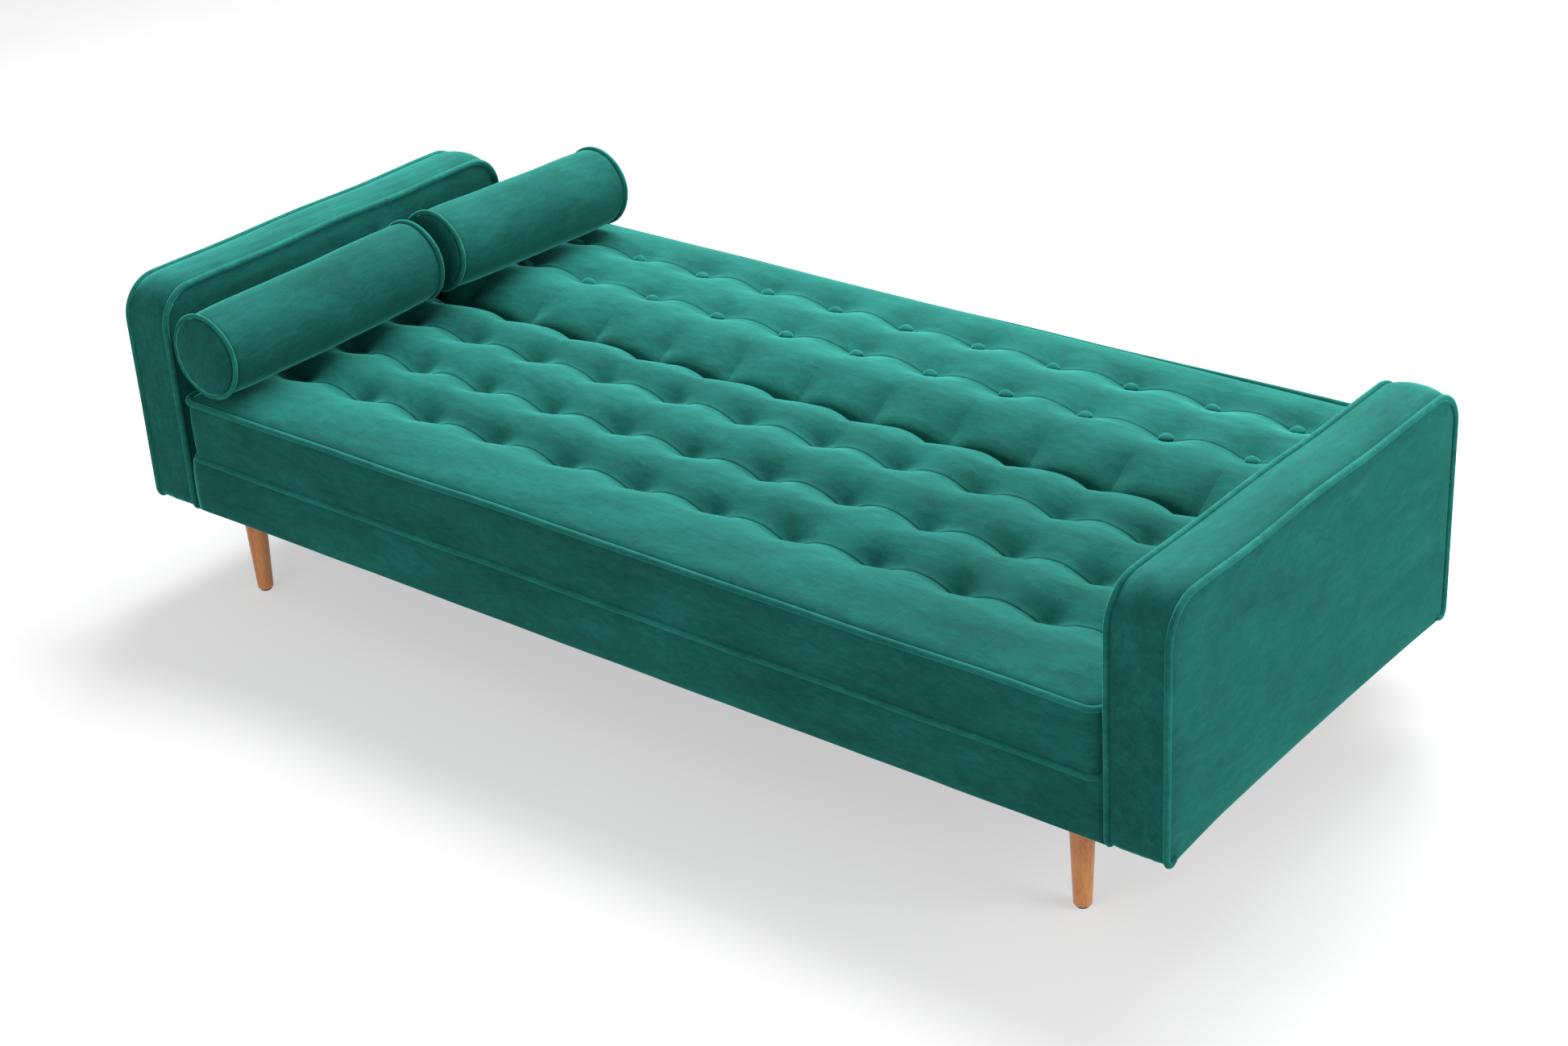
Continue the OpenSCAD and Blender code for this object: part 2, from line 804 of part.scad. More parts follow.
// Pawl: swings on its pin and drops into the quadrant's notches
module hinge_pawl(side) {
    tooth_top = pivot_height - quadrant_radius - 0.6;
    tooth_y = pivot_y + 1;              // stands in the middle of its notch once it is raised
    color("gray") on_side(side) difference() {
        along_x(hinge_inner_x + 0.2, hinge_inner_x + hinge_arm_thick - 0.2) union() {
            translate(pawl_pin) circle(r = 8);
            polygon([
                [pawl_pin.x, pawl_pin.y - 8],
                [tooth_y + 4, tooth_top - 14],
                [tooth_y + 4, tooth_top - 6],
                [tooth_y + 3.5, tooth_top],
                [tooth_y - 3.5, tooth_top],
                [tooth_y - 4, tooth_top - 6],
                [pawl_pin.x, pawl_pin.y + 4]
            ]);
            translate([pawl_pin.x - 20, pawl_pin.y - 4]) square([20, 6]);
        }
        cord_x(cushion_half - 5, half_inner, pawl_pin.x, pawl_pin.y, pawl_pin_radius + swing_clearance);
    }
}

module hinge_pawl_left() {
    hinge_pawl(-1);
}
module hinge_pawl_right() {
    hinge_pawl(1);
}

module hinge_pawl_pins() {
    color("dimgray") both_sides()
        cord_x(hinge_inner_x + fit, plate_inner_x + plate_thick - fit, pawl_pin.x, pawl_pin.y,
               pawl_pin_radius);
}

// Tension spring between the pawl's tail and a stud on the fixed plate, turned as one ribbed rod
module hinge_springs() {
    coil_radius = 1.1;
    wire = 0.5;
    turns = 18;
    pitch = 1.4;
    length = turns * pitch;
    low = [hinge_inner_x + hinge_arm_thick / 2, pawl_pin.x - 17, pawl_pin.y - 8 - length];
    color("lightgray") both_sides() {
        translate(low) rotate_extrude() {
            square([coil_radius, length]);
            for (i = [0.5 : turns - 0.5]) translate([coil_radius, i * pitch]) circle(r = wire);
        }
        cord_x(low.x - 1.4, plate_inner_x - 0.1, low.y, low.z - 2.5, 2);
    }
}

module hinge_base_bolts() {
    color("gray") both_sides() for (y = hinge_bolt_y) {
        cord_x(base_half - rail_thick - 5, plate_inner_x + plate_thick, y, hinge_bolt_z, bolt_radius);
        cord_x(base_half - rail_thick - 7, base_half - rail_thick - 0.1, y, hinge_bolt_z, 7);
    }
}

module hinge_back_bolts() {
    color("gray") in_back() both_sides() for (y = hinge_back_bolt_y)
        cord_x(cushion_half - 40, hinge_inner_x + hinge_arm_thick, y, hinge_back_bolt_z, bolt_radius);
}

// ---------- bolsters, drawn along Y from their front ring ----------

dome_rise = 10;                         // height of a bolster's domed ends
end_step = bolster_cord_radius + fit;   // step in the cover that a piping ring lies in
bolster_axis_x = -(half_inner - bolster_ring_radius - 1.5);
front_bolster_z = seat_top + 0.8 + bolster_ring_radius;
rear_bolster_z = back_top + 0.6 + bolster_ring_radius;
front_bolster_y = front_y + 8;
rear_bolster_y = -69;
rear_bolster_x = bolster_axis_x + 4.2;  // clear of the arm's cord when the back folds up

// Solid of revolution along +Y: a cylinder with gently domed ends
module bolster_solid(length, r, rise) {
    ball = (r * r + rise * rise) / (2 * rise);
    rotate([-90, 0, 0]) rotate_extrude() union() {
        square([r, length]);
        intersection() {
            translate([0, ball - rise]) circle(r = ball);
            translate([0, -rise]) square([r, rise + 1]);
        }
        intersection() {
            translate([0, length + rise - ball]) circle(r = ball);
            translate([0, length - 1]) square([r, rise + 1]);
        }
    }
}

module bolster_cover(length) {
    r = bolster_radius - end_step;
    difference() {
        union() {
            bolster_solid(length, r, dome_rise);
            rotate([-90, 0, 0]) translate([0, 0, 2 * end_step])
                cylinder(h = length - 4 * end_step, r = bolster_radius);
        }
        bolster_solid(length, r - cloth, dome_rise - cloth);
    }
}

module bolster_filling(length) {
    bolster_solid(length, bolster_radius - end_step - cloth - fit, dome_rise - cloth - fit);
}

// Piping ring at each end of the body
module bolster_piping(length) {
    for (y = [end_step, length - end_step]) translate([0, y, 0]) rotate([-90, 0, 0])
        rotate_extrude() translate([bolster_radius, 0]) circle(r = bolster_cord_radius);
}

module at_front_bolster() {
    translate([bolster_axis_x, front_bolster_y, front_bolster_z]) children();
}

module at_rear_bolster() {
    in_back() translate([rear_bolster_x, rear_bolster_y, rear_bolster_z]) children();
}

module bolster_front_filling() {
    color("whitesmoke") at_front_bolster() bolster_filling(front_bolster_length);
}

module bolster_front_cover() {
    color("teal") at_front_bolster() bolster_cover(front_bolster_length);
}

module bolster_front_piping() {
    color("darkcyan") at_front_bolster() bolster_piping(front_bolster_length);
}

module bolster_rear_filling() {
    color("whitesmoke") at_rear_bolster() bolster_filling(rear_bolster_length);
}

module bolster_rear_cover() {
    color("teal") at_rear_bolster() bolster_cover(rear_bolster_length);
}

module bolster_rear_piping() {
    color("darkcyan") at_rear_bolster() bolster_piping(rear_bolster_length);
}

base_front_rail();
base_middle_rail();
base_rear_rail();
base_side_rail_left();
base_side_rail_right();
base_corner_blocks();
slat_battens();
seat_slats();
base_front_cover();
base_rear_cover();
dust_cloth();
leg_front_left();
leg_front_right();
leg_rear_left();
leg_rear_right();
leg_glides();
leg_plates();
leg_plate_screws();
leg_hanger_bolts();
arm_frame_left();
arm_frame_right();
arm_cover_left();
arm_cover_right();
arm_piping_left();
arm_piping_right();
arm_bolts();
arm_packing_washers();
seat_foam();
seat_cover();
seat_piping();
seat_buttons();
back_frame();
back_foam();
back_cover();
back_piping();
back_buttons();
back_outer_panel();
hinge_plate_left();
hinge_plate_right();
hinge_arm_left();
hinge_arm_right();
hinge_pivot_left();
hinge_pivot_right();
hinge_pawl_left();
hinge_pawl_right();
hinge_pawl_pins();
hinge_springs();
hinge_base_bolts();
hinge_back_bolts();
bolster_front_filling();
bolster_front_cover();
bolster_front_piping();
bolster_rear_filling();
bolster_rear_cover();
bolster_rear_piping();
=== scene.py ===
"""Looks of the click-clack sofa bed: tufted velvet cushions, piped arms and bolsters, turned legs.
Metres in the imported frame: X along the bed, Y from the seat's front to the back's far edge, Z up."""

import json
import math
import random

import bpy
import numpy as np
from mathutils import Matrix, Vector


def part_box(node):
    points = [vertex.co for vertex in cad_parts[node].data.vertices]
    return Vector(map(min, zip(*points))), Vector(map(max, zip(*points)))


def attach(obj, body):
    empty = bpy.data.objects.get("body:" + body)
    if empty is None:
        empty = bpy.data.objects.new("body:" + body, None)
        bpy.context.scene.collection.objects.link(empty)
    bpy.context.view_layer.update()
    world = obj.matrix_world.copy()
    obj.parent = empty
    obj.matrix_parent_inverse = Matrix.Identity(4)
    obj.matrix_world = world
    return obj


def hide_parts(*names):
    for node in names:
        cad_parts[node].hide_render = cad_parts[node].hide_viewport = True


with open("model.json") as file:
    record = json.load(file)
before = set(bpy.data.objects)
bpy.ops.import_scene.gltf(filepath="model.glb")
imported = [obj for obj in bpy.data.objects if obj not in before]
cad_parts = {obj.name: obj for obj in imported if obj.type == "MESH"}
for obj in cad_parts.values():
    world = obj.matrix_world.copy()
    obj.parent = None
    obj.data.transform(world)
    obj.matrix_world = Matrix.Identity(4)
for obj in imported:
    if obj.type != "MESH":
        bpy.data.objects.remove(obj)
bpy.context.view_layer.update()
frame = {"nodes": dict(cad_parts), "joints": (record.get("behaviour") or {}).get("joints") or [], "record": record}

MM = 0.001
TAU = 2 * math.pi
TINY = 1e-12                            # keeps a division away from zero
CLOSEST = 0.45 * MM                     # least spacing of a grid's lines

# ---------- sizes read from the frame ----------


def mm(*sizes):
    """Sizes in millimetres, as metres."""
    return [size * MM for size in sizes]


def joint_of(name):
    """The frame's entry for a joint."""
    return next(j for j in frame["joints"] if j["name"] == name)


seat_low, seat_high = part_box("seat_cover")
arm_low, arm_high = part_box("arm_cover_right")
buttons_low, buttons_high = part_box("seat_buttons")
BUTTON_R = 12 * MM
BUTTON_RIM = 1.2 * MM                   # the rim's radius, and its height
BUTTON_RISE = 6.5 * MM                  # of the dome above the rim
COLUMNS = 12
SEAT_ROWS = 3
ARM_IN, ARM_OUT = arm_low.x, arm_high.x
PITCH = 2 * ARM_IN / COLUMNS
TUFT_X = [(i + 0.5) * PITCH - ARM_IN for i in range(COLUMNS)]
row_first, row_last = buttons_low.y + BUTTON_R, buttons_high.y - BUTTON_R
SEAT_ROW_Y = [row_first + i * (row_last - row_first) / (SEAT_ROWS - 1) for i in range(SEAT_ROWS)]
SEAT_HALF = seat_high.x
CORD_R = 5 * MM
CORD_END = 33 * MM                      # where the seat's cords end, beside the arms
PIPE_TOP = 366 * MM                     # heights of the seat's two cords
PIPE_LOW = 261 * MM
CROWN_RISE = 3 * MM                     # how far the tufted cushions crown above the CAD ones

pivot = Vector(joint_of("back_fold")["pos_m"])
slide = Vector(joint_of("rear_bolster_slide")["axis"])
BACK_SLOPE = math.atan2(-slide.z, slide.y)
IN_BACK = Matrix.Translation(pivot) @ Matrix.Rotation(-BACK_SLOPE, 4, "X")


def local_box(node, place):
    """Box of a CAD node in the frame `place`."""
    into = place.inverted()
    points = [into @ v.co for v in frame["nodes"][node].data.vertices]
    low = Vector(min(p[k] for p in points) for k in range(3))
    high = Vector(max(p[k] for p in points) for k in range(3))
    return low, high


back_low, back_high = local_box("back_cover", IN_BACK)
back_buttons_low, back_buttons_high = local_box("back_buttons", IN_BACK)
panel_low, panel_high = local_box("back_outer_panel", IN_BACK)
BACK_ROW_Y = [back_buttons_low.y + BUTTON_R, back_buttons_high.y - BUTTON_R]

# ---------- smooth noise, seeded ----------


def waves(seed, length, count=9):
    """A smooth function of two coordinates, about -1 to 1, with features of about that length."""
    draw = random.Random(seed)
    terms = []
    for _ in range(count):
        angle = draw.uniform(0, TAU)
        k = TAU / (length * draw.uniform(0.7, 1.5))
        terms.append((k * math.cos(angle), k * math.sin(angle), draw.uniform(0, TAU)))

    def value(a, b):
        total = 0
        for ka, kb, phase in terms:
            total = total + np.sin(ka * a + kb * b + phase)
        return total / math.sqrt(count) / 1.4

    return value


def smoothstep(t):
    """0 below 0 and 1 above 1, with a smooth rise between."""
    t = np.clip(t, 0, 1)
    return t * t * (3 - 2 * t)


# ---------- mesh building ----------


def add_mesh(name, shape, material, body, place=None):
    """A mesh object from a pair of points and faces, riding on a body."""
    points, faces = shape
    mesh = bpy.data.meshes.new(name)
    mesh.from_pydata([tuple(p) for p in points], [], faces)
    mesh.validate()
    piece = bpy.data.objects.new(name, mesh)
    bpy.context.scene.collection.objects.link(piece)
    if place is not None:
        mesh.transform(place)
    mesh.polygons.foreach_set("use_smooth", [True] * len(mesh.polygons))
    mesh.materials.append(material)
    mesh.update()
    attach(piece, body)
    return piece


def border(rows, cols):
    """Indices round the edge of a grid, anticlockwise from its first point."""
    front = [(0, i) for i in range(cols)]
    right = [(j, cols - 1) for j in range(1, rows)]
    rear = [(rows - 1, i) for i in range(cols - 2, -1, -1)]
    left = [(j, 0) for j in range(rows - 2, 0, -1)]
    return front + right + rear + left


def rim_of(grid):
    """Points round the edge of a grid of points."""
    return np.array([grid[j, i] for j, i in border(*grid.shape[:2])])


def cells(rows, cols):
    """Faces of a grid of points, seen from above."""
    firsts = [j * cols + i for j in range(rows - 1) for i in range(cols - 1)]
    return [(a, a + 1, a + cols + 1, a + cols) for a in firsts]


def bridge(upper, lower):
    """Faces between two closed rings of point numbers."""
    count = len(upper)
    return [(upper[k], lower[k], lower[(k + 1) % count], upper[(k + 1) % count]) for k in range(count)]


def closed_pad(top, rings, bottom=None):
    """Points and faces of a pad: a top grid, rings of points down its side, and a bottom grid or strips."""
    rows, cols, _ = top.shape
    edge = [j * cols + i for j, i in border(rows, cols)]
    points = list(top.reshape(-1, 3))
    faces = cells(rows, cols)
    upper = edge
    for ring in rings:
        lower = list(range(len(points), len(points) + len(edge)))
        points.extend(ring)
        faces += bridge(upper, lower)
        upper = lower
    if bottom is not None:
        start = len(points)
        points.extend(bottom.reshape(-1, 3))
        faces += bridge(upper, [start + e for e in edge])
        faces += [(start + a, start + d, start + c, start + b) for a, b, c, d in cells(rows, cols)]
    else:
        front = upper[:cols]
        rear = upper[cols + rows - 2: 2 * cols + rows - 2][::-1]
        for i in range(cols - 1):
            faces.append((front[i], rear[i], rear[i + 1], front[i + 1]))
        right = upper[cols - 1: cols + rows - 1]
        left = [upper[0]] + upper[2 * cols + rows - 3:][::-1]
        faces.append(tuple(right[::-1]))
        faces.append(tuple(left))
    return points, faces


def outward(loop):
    """Unit outward normals, in the plane, of an anticlockwise loop of points."""
    ahead = np.roll(loop, -1, axis=0) - np.roll(loop, 1, axis=0)
    normal = np.stack([ahead[:, 1], -ahead[:, 0]], axis=1)
    return normal / np.maximum(np.linalg.norm(normal, axis=1), TINY)[:, None]


def round_corners(a, b, box, radii):
    """Moves a grid's points so that the box's corners become arcs.
    radii: low-low, high-low, high-high, low-high."""
    (a0, b0), (a1, b1) = box
    a, b = a.copy(), b.copy()
    corners = [(a0, b0, -1, -1), (a1, b0, 1, -1), (a1, b1, 1, 1), (a0, b1, -1, 1)]
    for (ca, cb, sa, sb), r in zip(corners, radii):
        ca, cb = ca - sa * r, cb - sb * r
        da, db = (a - ca) * sa, (b - cb) * sb
        inside = (da > 0) & (db > 0)
        scale = np.maximum(da, db) / np.maximum(np.hypot(da, db), TINY)
        a = np.where(inside, ca + sa * da * scale, a)
        b = np.where(inside, cb + sb * db * scale, b)
    return a, b


def lines(low, high, seams, offsets, end_steps=()):
    """Grid lines from low to high, close together next to each seam and next to the ends."""
    marks = {low, high}
    stops = [low] + list(seams) + [high]
    for k, seam in enumerate(seams):
        before = (stops[k] + seam) / 2 if k > 0 else low
        after = (stops[k + 2] + seam) / 2 if k + 2 < len(stops) - 1 else high
        for step in offsets:
            for at in (seam - step, seam + step):
                if before <= at <= after:
                    marks.add(at)
    for step in end_steps:
        marks.add(low + step)
        marks.add(high - step)
    ordered = sorted(marks)
    kept = [ordered[0]]
    for mark in ordered[1:]:
        if mark - kept[-1] > CLOSEST:
            kept.append(mark)
    kept[-1] = high
    return np.array(kept)


def edge_distance(a, b):
    """Distance of each point of a grid from the nearest side of the grid's box."""
    return np.minimum(np.minimum(a - a.min(), a.max() - a), np.minimum(b - b.min(), b.max() - b))


def panel_grid(box, end_steps, start, spacing):
    """A box's grid, closer next to its sides and evened from `start` inside them, with its edge_distance."""
    found = []
    for low, high in zip(*box):
        inside = np.arange(low + start, high - start + 10 * MM, spacing)
        found.append(np.unique(np.concatenate([lines(low, high, [], [], end_steps), inside])))
    a, b = np.meshgrid(*found)
    return a, b, edge_distance(a, b)


def sleeve(count, sides, closed=False):
    """Faces of a row of rings of `sides` points each, capped at both ends unless it runs round."""
    faces = []
    for k in range(count if closed else count - 1):
        m = (k + 1) % count
        for s in range(sides):
            t = (s + 1) % sides
            faces.append((k * sides + s, k * sides + t, m * sides + t, m * sides + s))
    if not closed:
        faces.append(tuple(range(sides))[::-1])
        faces.append(tuple(range((count - 1) * sides, count * sides)))
    return faces


def tube(path, radius, closed=False, sides=14):
    """Points and faces of a round cord along a path."""
    path = np.array(path)
    n = len(path)
    if closed:
        tangent = np.roll(path, -1, axis=0) - np.roll(path, 1, axis=0)
    else:
        tangent = np.gradient(path, axis=0)
    tangent /= np.linalg.norm(tangent, axis=1)[:, None]
    axis = Vector(np.cross(tangent[0], tangent[n // 3] + tangent[n // 2] * 0.37))
    side = axis if axis.length > 1e-3 else Vector((0.3, 0.5, 0.81)).cross(Vector(tangent[0]))
    side = np.array(side.normalized())
    points = []
    for k in range(n):
        side = side - tangent[k] * (side @ tangent[k])
        side /= np.linalg.norm(side)
        other = np.cross(tangent[k], side)
        for s in range(sides):
            angle = TAU * s / sides
            points.append(path[k] + radius * (math.cos(angle) * side + math.sin(angle) * other))
    return points, sleeve(n, sides, closed)


def joined(parts):
    """Several (points, faces) pairs as one."""
    points, faces = [], []
    for p, f in parts:
        start = len(points)
        points.extend(p)
        faces.extend(tuple(i + start for i in face) for face in f)
    return points, faces


def lathe(profile, sides):
    """Surface of revolution about Z from (radius, height) pairs, closed by a point at each end."""
    points = [(0, 0, profile[0][1])]
    for radius, z in profile[1:-1]:
        for s in range(sides):
            angle = TAU * s / sides
            points.append((radius * math.cos(angle), radius * math.sin(angle), z))
    points.append((0, 0, profile[-1][1]))
    faces = []
    count = len(profile) - 2
    for s in range(sides):
        t = (s + 1) % sides
        faces.append((0, 1 + t, 1 + s))
        last = 1 + (count - 1) * sides
        faces.append((last + s, last + t, len(points) - 1))
        for k in range(count - 1):
            a, b = 1 + k * sides, 1 + (k + 1) * sides
            faces.append((a + s, a + t, b + t, b + s))
    return points, faces


# ---------- materials ----------


class Nodes:
    """Short way to build a material's node tree."""

    def __init__(self, name):
        self.material = bpy.data.materials.new(name)
        self.material.use_nodes = True
        self.tree = self.material.node_tree
        self.tree.nodes.clear()
        self.out = self.add("ShaderNodeOutputMaterial")
        self.shader = self.add("ShaderNodeBsdfPrincipled")
        self.tree.links.new(self.shader.outputs["BSDF"], self.out.inputs["Surface"])
        self.place = self.add("ShaderNodeTexCoord")

    def add(self, kind, **settings):
        """A new node with its settings."""
        node = self.tree.nodes.new(kind)
        for key, value in settings.items():
            setattr(node, key, value)
        return node

    def link(self, source, target):
        self.tree.links.new(source, target)

    def feed(self, value, socket):
        """Links a node's output to a socket, or sets a plain value on it."""
        if isinstance(value, bpy.types.NodeSocket):
            self.link(value, socket)
        else:
            socket.default_value = (*value, 1) if isinstance(value, tuple) else value

    def fill(self, node, **values):
        """Feeds a node's sockets, named with _ for a space."""
        for key, value in values.items():
            self.feed(value, node.inputs[key.replace("_", " ")])

    def coords(self, scale=(1, 1, 1)):
        """Object coordinates, stretched."""
        mapping = self.add("ShaderNodeMapping")
        mapping.inputs["Scale"].default_value = scale
        self.link(self.place.outputs["Object"], mapping.inputs["Vector"])
        return mapping.outputs["Vector"]

    def noise(self, scale, detail=2.0, rough=0.5, coords=None, distortion=0.0):
        node = self.add("ShaderNodeTexNoise")
        self.fill(node, Scale=scale, Detail=detail, Roughness=rough, Distortion=distortion,
                  Vector=coords or self.coords())
        return node.outputs["Fac"]

    def ramp(self, factor, stops):
        """Colours at (position, colour) stops."""
        node = self.add("ShaderNodeValToRGB")
        elements = node.color_ramp.elements
        while len(elements) < len(stops):
            elements.new(0.5)
        for element, (at, colour) in zip(elements, stops):
            element.position = at
            element.color = (*colour, 1)
        self.fill(node, Fac=factor)
        return node.outputs["Color"]

    def greys(self, factor, low, high, start=0.3, end=0.7):
        """A ramp between two plain values."""
        return self.ramp(factor, [(start, (low,) * 3), (end, (high,) * 3)])

    def mix(self, factor, a, b, blend="MIX"):
        node = self.add("ShaderNodeMix", data_type="RGBA", blend_type=blend)
        for number, value in ((0, factor), (6, a), (7, b)):
            self.feed(value, node.inputs[number])
        return node.outputs[2]

    def maths(self, operation, a, b=0.0):
        node = self.add("ShaderNodeMath", operation=operation)
        for number, value in ((0, a), (1, b)):
            self.feed(value, node.inputs[number])
        return node.outputs[0]

    def bump(self, layers):
        """Stacks (height, strength, distance) layers into the shader's normal."""
        normal = None
        for height, strength, distance in layers:
            node = self.add("ShaderNodeBump")
            self.fill(node, Strength=strength, Distance=distance, Height=height)
            if normal is not None:
                self.fill(node, Normal=normal)
            normal = node.outputs["Normal"]
        self.set(Normal=normal)

    def set(self, **values):
        self.fill(self.shader, **values)


def tinted(share, colour):
    """A colour, or any other three numbers, times a share."""
    return tuple(share * c for c in colour)


def velvet(name, dark, mid, light, sheen_tint, brush="X"):
    """Short-pile velvet: a mottled nap brushed one way, a fine pile, and a bright sheen at grazing angles."""
    n = Nodes(name)
    along = {"X": (0.55, 1.5, 1.5), "Y": (1.5, 0.55, 1.3)}[brush]
    patches = n.noise(10.0, 3.0, 0.55, n.coords(scale=along), 0.5)
    strokes = n.noise(62.0, 4.0, 0.65, n.coords(scale=along), 0.8)
    pile = n.noise(1100.0, 1.0, 0.5)
    tone = n.maths("ADD", n.maths("MULTIPLY", patches, 0.5), n.maths("MULTIPLY", strokes, 0.5))
    colour = n.ramp(tone, [(0.32, dark), (0.5, mid), (0.68, light)])
    n.set(Base_Color=n.mix(1.0, colour, n.greys(pile, 0.86, 1.1), "MULTIPLY"),
          Roughness=n.greys(strokes, 0.80, 0.95), Specular_IOR_Level=0.05,
          Sheen_Weight=1.0, Sheen_Roughness=0.32, Sheen_Tint=sheen_tint)
    n.bump([(patches, 0.25, 0.003), (strokes, 0.3, 0.001), (pile, 0.3, 0.0003)])
    return n.material


def wood(name, dark, mid, light, grain_axis="Z", rough=0.42, coat=0.25, ring_scale=26.0):
    """Wood with fibres along one axis, long figure, fine pores and a satin finish."""
    n = Nodes(name)
    stretch = {"X": (0.06, 1, 1), "Y": (1, 0.06, 1), "Z": (1, 1, 0.06)}[grain_axis]
    figure = n.noise(ring_scale, 4.0, 0.6, n.coords(scale=stretch), 1.2)
    fibres = n.noise(ring_scale * 14, 3.0, 0.65, n.coords(scale=stretch), 0.2)
    pores = n.noise(ring_scale * 40, 2.0, 0.5, n.coords(scale=tinted(1.4, stretch)))
    tone = n.maths("ADD", n.maths("MULTIPLY", figure, 0.65), n.maths("MULTIPLY", fibres, 0.35))
    colour = n.ramp(tone, [(0.34, dark), (0.5, mid), (0.68, light)])
    pits = n.ramp(pores, [(0.36, (0.72, 0.66, 0.6)), (0.5, (1, 1, 1))])
    colour = n.mix(0.8, colour, pits, "MULTIPLY")
    n.set(Base_Color=colour, Roughness=n.greys(fibres, rough - 0.08, rough + 0.1),
          Coat_Weight=coat, Coat_Roughness=0.25)
    n.bump([(fibres, 0.12, 0.0006), (pores, 0.15, 0.0003)])
    return n.material


def foam(name, colour_a, colour_b):
    """Open-celled foam, a little stained."""
    n = Nodes(name)
    pores = n.noise(420.0, 3.0, 0.7)
    stained = n.mix(n.noise(9.0, 2.0, 0.5), colour_a, colour_b)
    pits = n.ramp(pores, [(0.3, (0.7, 0.68, 0.6)), (0.62, (1, 1, 1))])
    n.set(Base_Color=n.mix(1.0, stained, pits, "MULTIPLY"), Roughness=0.95)
    n.bump([(pores, 0.6, 0.0012)])
    return n.material


def woven(name, colour_a, colour_b):
    """Plain cloth with crossed threads."""
    n = Nodes(name)
    warp = n.add("ShaderNodeTexWave", wave_type="BANDS", bands_direction="X")
    weft = n.add("ShaderNodeTexWave", wave_type="BANDS", bands_direction="Y")
    for wave in (warp, weft):
        n.fill(wave, Scale=700.0, Distortion=1.2, Vector=n.place.outputs["Object"])
    threads = n.maths("MULTIPLY", warp.outputs["Fac"], weft.outputs["Fac"])
    blotch = n.noise(30.0, 3.0, 0.6)
    n.set(Base_Color=n.mix(n.maths("MULTIPLY", n.maths("ADD", threads, blotch), 0.5), colour_a, colour_b),
          Roughness=0.9)
    n.bump([(threads, 0.4, 0.0004)])
    return n.material


def metal(name, base, rough, metallic=1.0, streak=(1, 1, 14), coat=0.0):
    """Plated or coated steel with brushed streaks, faint stains and worn spots."""
    n = Nodes(name)
    streaks = n.noise(60.0, 3.0, 0.6, n.coords(scale=streak))
    stains = n.noise(18.0, 4.0, 0.6)
    light = tuple(c * 1.25 + 0.01 for c in base)
    n.set(Base_Color=n.ramp(stains, [(0.3, tinted(0.72, base)), (0.5, base), (0.72, light)]),
          Roughness=n.greys(streaks, rough * 0.75, rough * 1.35, 0.25, 0.75),
          Metallic=metallic, Coat_Weight=coat)
    n.bump([(streaks, 0.1, 0.0003), (n.noise(300.0, 2.0, 0.5), 0.08, 0.0002)])
    return n.material


def plastic(name, base, rough):
    """Moulded plastic with a fine grain and scuffs."""
    n = Nodes(name)
    grain = n.noise(500.0, 2.0, 0.5)
    scuffs = n.noise(24.0, 4.0, 0.7)
    n.set(Base_Color=n.ramp(scuffs, [(0.3, tinted(0.7, base)), (0.6, base), (0.8, tinted(1.6, base))]),
          Roughness=n.greys(scuffs, rough - 0.1, rough + 0.12))
    n.bump([(grain, 0.25, 0.0003)])
    return n.material


def fibre(name, colour_a, colour_b):
    """Loose fibre filling."""
    n = Nodes(name)
    strands = n.noise(160.0, 5.0, 0.75, None, 2.5)
    n.set(Base_Color=n.mix(strands, colour_a, colour_b), Roughness=0.95, Sheen_Weight=0.4)
    n.bump([(strands, 0.8, 0.003)])
    return n.material


GREENS = ((0.0060, 0.064, 0.052), (0.0088, 0.096, 0.079), (0.0130, 0.134, 0.112))
SHEEN = (0.125, 0.84, 0.73)
VELVET = velvet("velvet", *GREENS, SHEEN)
VELVET_ARM = velvet("velvet_arm", *GREENS, SHEEN, "Y")
# The bolsters' velvet is a darker copy of the seat's velvet: painted shade for the bolsters' shaded sides.
VELVET_BOLSTER_PAINTED_SHADE = velvet("velvet_bolster_painted_shade", *(tinted(0.85, green) for green in GREENS),
                        tinted(0.85, SHEEN), "Y")
# The cords' and buttons' velvet is a lighter copy of the velvet. It is partly the piping's own lighter colour and
# partly a painted highlight for the lit tops of the cords and buttons.
PIPING_TONE_AND_HIGHLIGHT = velvet("velvet_piping", *(tinted(1.35, green) for green in GREENS), SHEEN)
MATERIALS = {
    "velvet": VELVET,
    "velvet_piping": PIPING_TONE_AND_HIGHLIGHT,
    "foam": foam("foam", (0.80, 0.70, 0.40), (0.86, 0.78, 0.52)),
    "fibre_fill": fibre("fibre_fill", (0.72, 0.72, 0.70), (0.92, 0.92, 0.90)),
    "softwood": wood("softwood", (0.36, 0.22, 0.10), (0.52, 0.34, 0.17), (0.62, 0.44, 0.24), "X",
                     rough=0.6, coat=0.0, ring_scale=14.0),
    "slat_wood": wood("slat_wood", (0.46, 0.31, 0.16), (0.60, 0.43, 0.24), (0.70, 0.53, 0.32), "Y",
                      rough=0.5, coat=0.1, ring_scale=16.0),
    "leg_wood": wood("leg_wood", (0.38, 0.13, 0.035), (0.52, 0.20, 0.058), (0.63, 0.27, 0.088), "Z"),
    "dust_cloth": woven("dust_cloth", (0.012, 0.012, 0.013), (0.035, 0.035, 0.037)),
    "zinc_steel": metal("zinc_steel", (0.62, 0.63, 0.65), 0.32),
    "hinge_steel": metal("hinge_steel", (0.022, 0.022, 0.024), 0.42, 0.35, (14, 1, 1), 0.3),
    "glide_plastic": plastic("glide_plastic", (0.018, 0.017, 0.016), 0.5),
}

slot_of = {s["node"]: s["material_slot"] for s in frame["record"]["subparts"]}
for node, piece in frame["nodes"].items():
    piece.data.materials.clear()
    piece.data.materials.append(MATERIALS[slot_of[node]])

# ---------- tufted surfaces ----------


